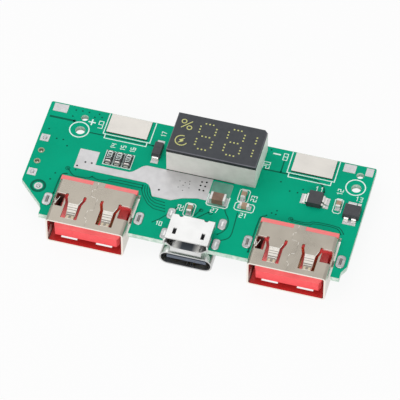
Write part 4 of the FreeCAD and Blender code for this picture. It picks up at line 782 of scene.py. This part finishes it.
def inner_walls():
    """Painted reflection and shade in each large socket, and painted highlights at its windows.

    The left wall carries painted shade at its window and a pale painted reflection ahead;
    painted shade also lies on the block's face behind the window and on the floor under it.
    A painted highlight lies at the window's left edge, and painted highlight lines lie on the
    shell along the back edges of the windows.
    """
    dark = Layer("inner_shades", "shade", "socket_steel")
    pale = Layer("inner_glints", "shine", "socket_steel")
    for centre in SOCKET_CENTRES:
        wall = centre - WALL_OFFSET
        dark.slab(box_path(wall + 0.01, wall + 0.03, 2.3, 5.35), 0.4, 5.35)
        dark.slab(box_path(wall + 0.04, wall + 0.85, 5.38, 5.42), 0.4, 5.3)
        dark.slab(box_path(wall + 0.04, wall + 0.75, 2.3, 5.36), 0.31, 0.34)
        pale.slab(box_path(wall + 0.01, wall + 0.03, -1.6, 0.1), 0.45, 1.9)
        pale.slab([(wall + 0.02, 2.2), (wall + 0.26, 2.15), (wall + 0.24, 2.55),
                   (wall + 0.1, 3.2), (wall + 0.02, 3.2)], 5.1, 5.14)
        pale.line([(wall + 0.2, 2.3), (wall + 0.62, 3.6)], 0.08, low=5.2, high=5.22)
        for hand in (-1, 1):
            pale.line([(centre + 4.85 * hand, 4.06), (centre + 6.3 * hand, 4.06)], 0.09,
                      low=SHELL_TOP - 0.01, high=SHELL_TOP + THIN)
    dark.done()
    pale.done()


def lamp_glints():
    """A painted highlight on the solder inside each of the two lamp holes."""
    layer = Layer("lamp_glints", "shine", "tin")
    level = BOARD_TOP - 0.22
    for up in (10.75, 13.15):
        layer.disc((1.3, up - 0.08), 0.16, level - LIFT, level)
    layer.done()


def small_mouth():
    """The visible strip of the small socket's floor behind its lip, with a painted reflection."""
    layer = Layer("small_mouth_reflection", "mouth", "socket_steel")
    layer.slab(box_path(28.35, 32.65, -1.15, 0.9), SMALL_FLOOR, SMALL_FLOOR + 0.01)
    layer.done()


def leg_caps():
    """The dark sheared tops of the socket legs that show in their solder."""
    layer = Layer("leg_tops", "leg", "socket_steel")
    for across in (5.26, 21.16, 39.84, 55.74):
        layer.slab(box_path(across - 0.15, across + 0.15, 2.7, 4.0), LEG_TOP, LEG_TOP + LIFT)
    layer.done()


silk()
resistor_marks()
tracks_and_socket_shadows()
display_foot_shade()
teal_field()
via_marks()
tin_pits()
socket_seams()
spring_glints()
inner_walls()
lamp_glints()
small_mouth()
leg_caps()


# Floor, light and camera

def floor():
    """A wide white floor just under the part, nearly shadowless to the camera."""
    data = bpy.data.meshes.new("floor")
    half = 1.5
    low = -0.02 * MM
    data.from_pydata([(-half, -half, low), (half, -half, low), (half, half, low),
                      (-half, half, low)], [], [(0, 1, 2, 3)])
    thing = bpy.data.objects.new("floor", data)
    bpy.context.scene.collection.objects.link(thing)
    made = Finish("floor_white")
    grain = made.noise(30, detail=2)
    made.colour(made.blend(made.spread(grain, 0, 1), srgb(236, 236, 236), srgb(240, 240, 240)))
    made.shader.inputs["Roughness"].default_value = 0.9
    glow = made.add("ShaderNodeEmission")
    glow.inputs["Color"].default_value = (1, 1, 1, 1)
    rays = made.add("ShaderNodeLightPath")
    seen = made.add("ShaderNodeMath", operation="MAXIMUM")
    made.link(rays.outputs["Is Camera Ray"], seen.inputs[0])
    made.link(rays.outputs["Is Glossy Ray"], seen.inputs[1])
    share = made.add("ShaderNodeMath", operation="MULTIPLY")
    share.inputs[1].default_value = 0.9
    made.link(seen.outputs["Value"], share.inputs[0])
    mix = made.add("ShaderNodeMixShader")
    made.link(share.outputs["Value"], mix.inputs["Fac"])
    made.link(made.shader.outputs["BSDF"], mix.inputs[1])
    made.link(glow.outputs["Emission"], mix.inputs[2])
    out = next(node for node in made.tree.nodes if node.type == "OUTPUT_MATERIAL")
    made.link(mix.outputs["Shader"], out.inputs["Surface"])
    thing.data.materials.append(made.material)


def world():
    """White surroundings, weaker as a light than where they are seen or mirrored."""
    made = bpy.data.worlds.new("studio")
    bpy.context.scene.world = made
    made.use_nodes = True
    tree = made.node_tree
    back = tree.nodes["Background"]
    rays = tree.nodes.new("ShaderNodeLightPath").outputs
    seen = rays["Is Camera Ray"]
    for kind in ("Is Glossy Ray", "Is Transmission Ray"):
        either = tree.nodes.new("ShaderNodeMath")
        either.operation = "MAXIMUM"
        tree.links.new(seen, either.inputs[0])
        tree.links.new(rays[kind], either.inputs[1])
        seen = either.outputs["Value"]
    level = tree.nodes.new("ShaderNodeMapRange")
    level.inputs["To Min"].default_value = 0.55
    level.inputs["To Max"].default_value = 1.0
    tree.links.new(seen, level.inputs["Value"])
    tree.links.new(level.outputs["Result"], back.inputs["Strength"])
    back.inputs["Color"].default_value = (1, 1, 1, 1)


def lamp(name, place, power, size):
    """A square lamp at a place in metres, aimed at the part's middle."""
    data = bpy.data.lights.new(name, "AREA")
    data.energy = power
    data.size = size
    thing = bpy.data.objects.new(name, data)
    thing.location = place
    aim = Vector((0, 0, 0.004)) - Vector(place)
    thing.rotation_euler = aim.to_track_quat("-Z", "Y").to_euler()
    bpy.context.scene.collection.objects.link(thing)


def camera():
    """The camera as fitted to the photograph: its bearing, its height and what it looks at."""
    azimuth = math.radians(15.185)
    height = math.radians(51.879)
    distance = 600.285
    back = Vector((math.sin(azimuth) * math.cos(height), -math.cos(azimuth) * math.cos(height),
                   math.sin(height)))
    target = Vector((1.486, -1.189, BOARD_TOP)) * MM
    data = bpy.data.cameras.new("camera")
    data.sensor_width = 36
    data.lens = 323.27
    data.clip_start = 0.01
    data.clip_end = 20
    thing = bpy.data.objects.new("camera", data)
    thing.location = target + back * distance * MM
    thing.rotation_euler = (-back).to_track_quat("-Z", "Y").to_euler()
    bpy.context.scene.collection.objects.link(thing)
    bpy.context.scene.camera = thing


floor()
world()
lamp("key", (-0.2, 0.1, 0.6), 1.2, 0.6)
lamp("front", (0.1, -0.6, 0.22), 1.9, 0.5)
camera()
bpy.context.scene.view_settings.view_transform = "Standard"
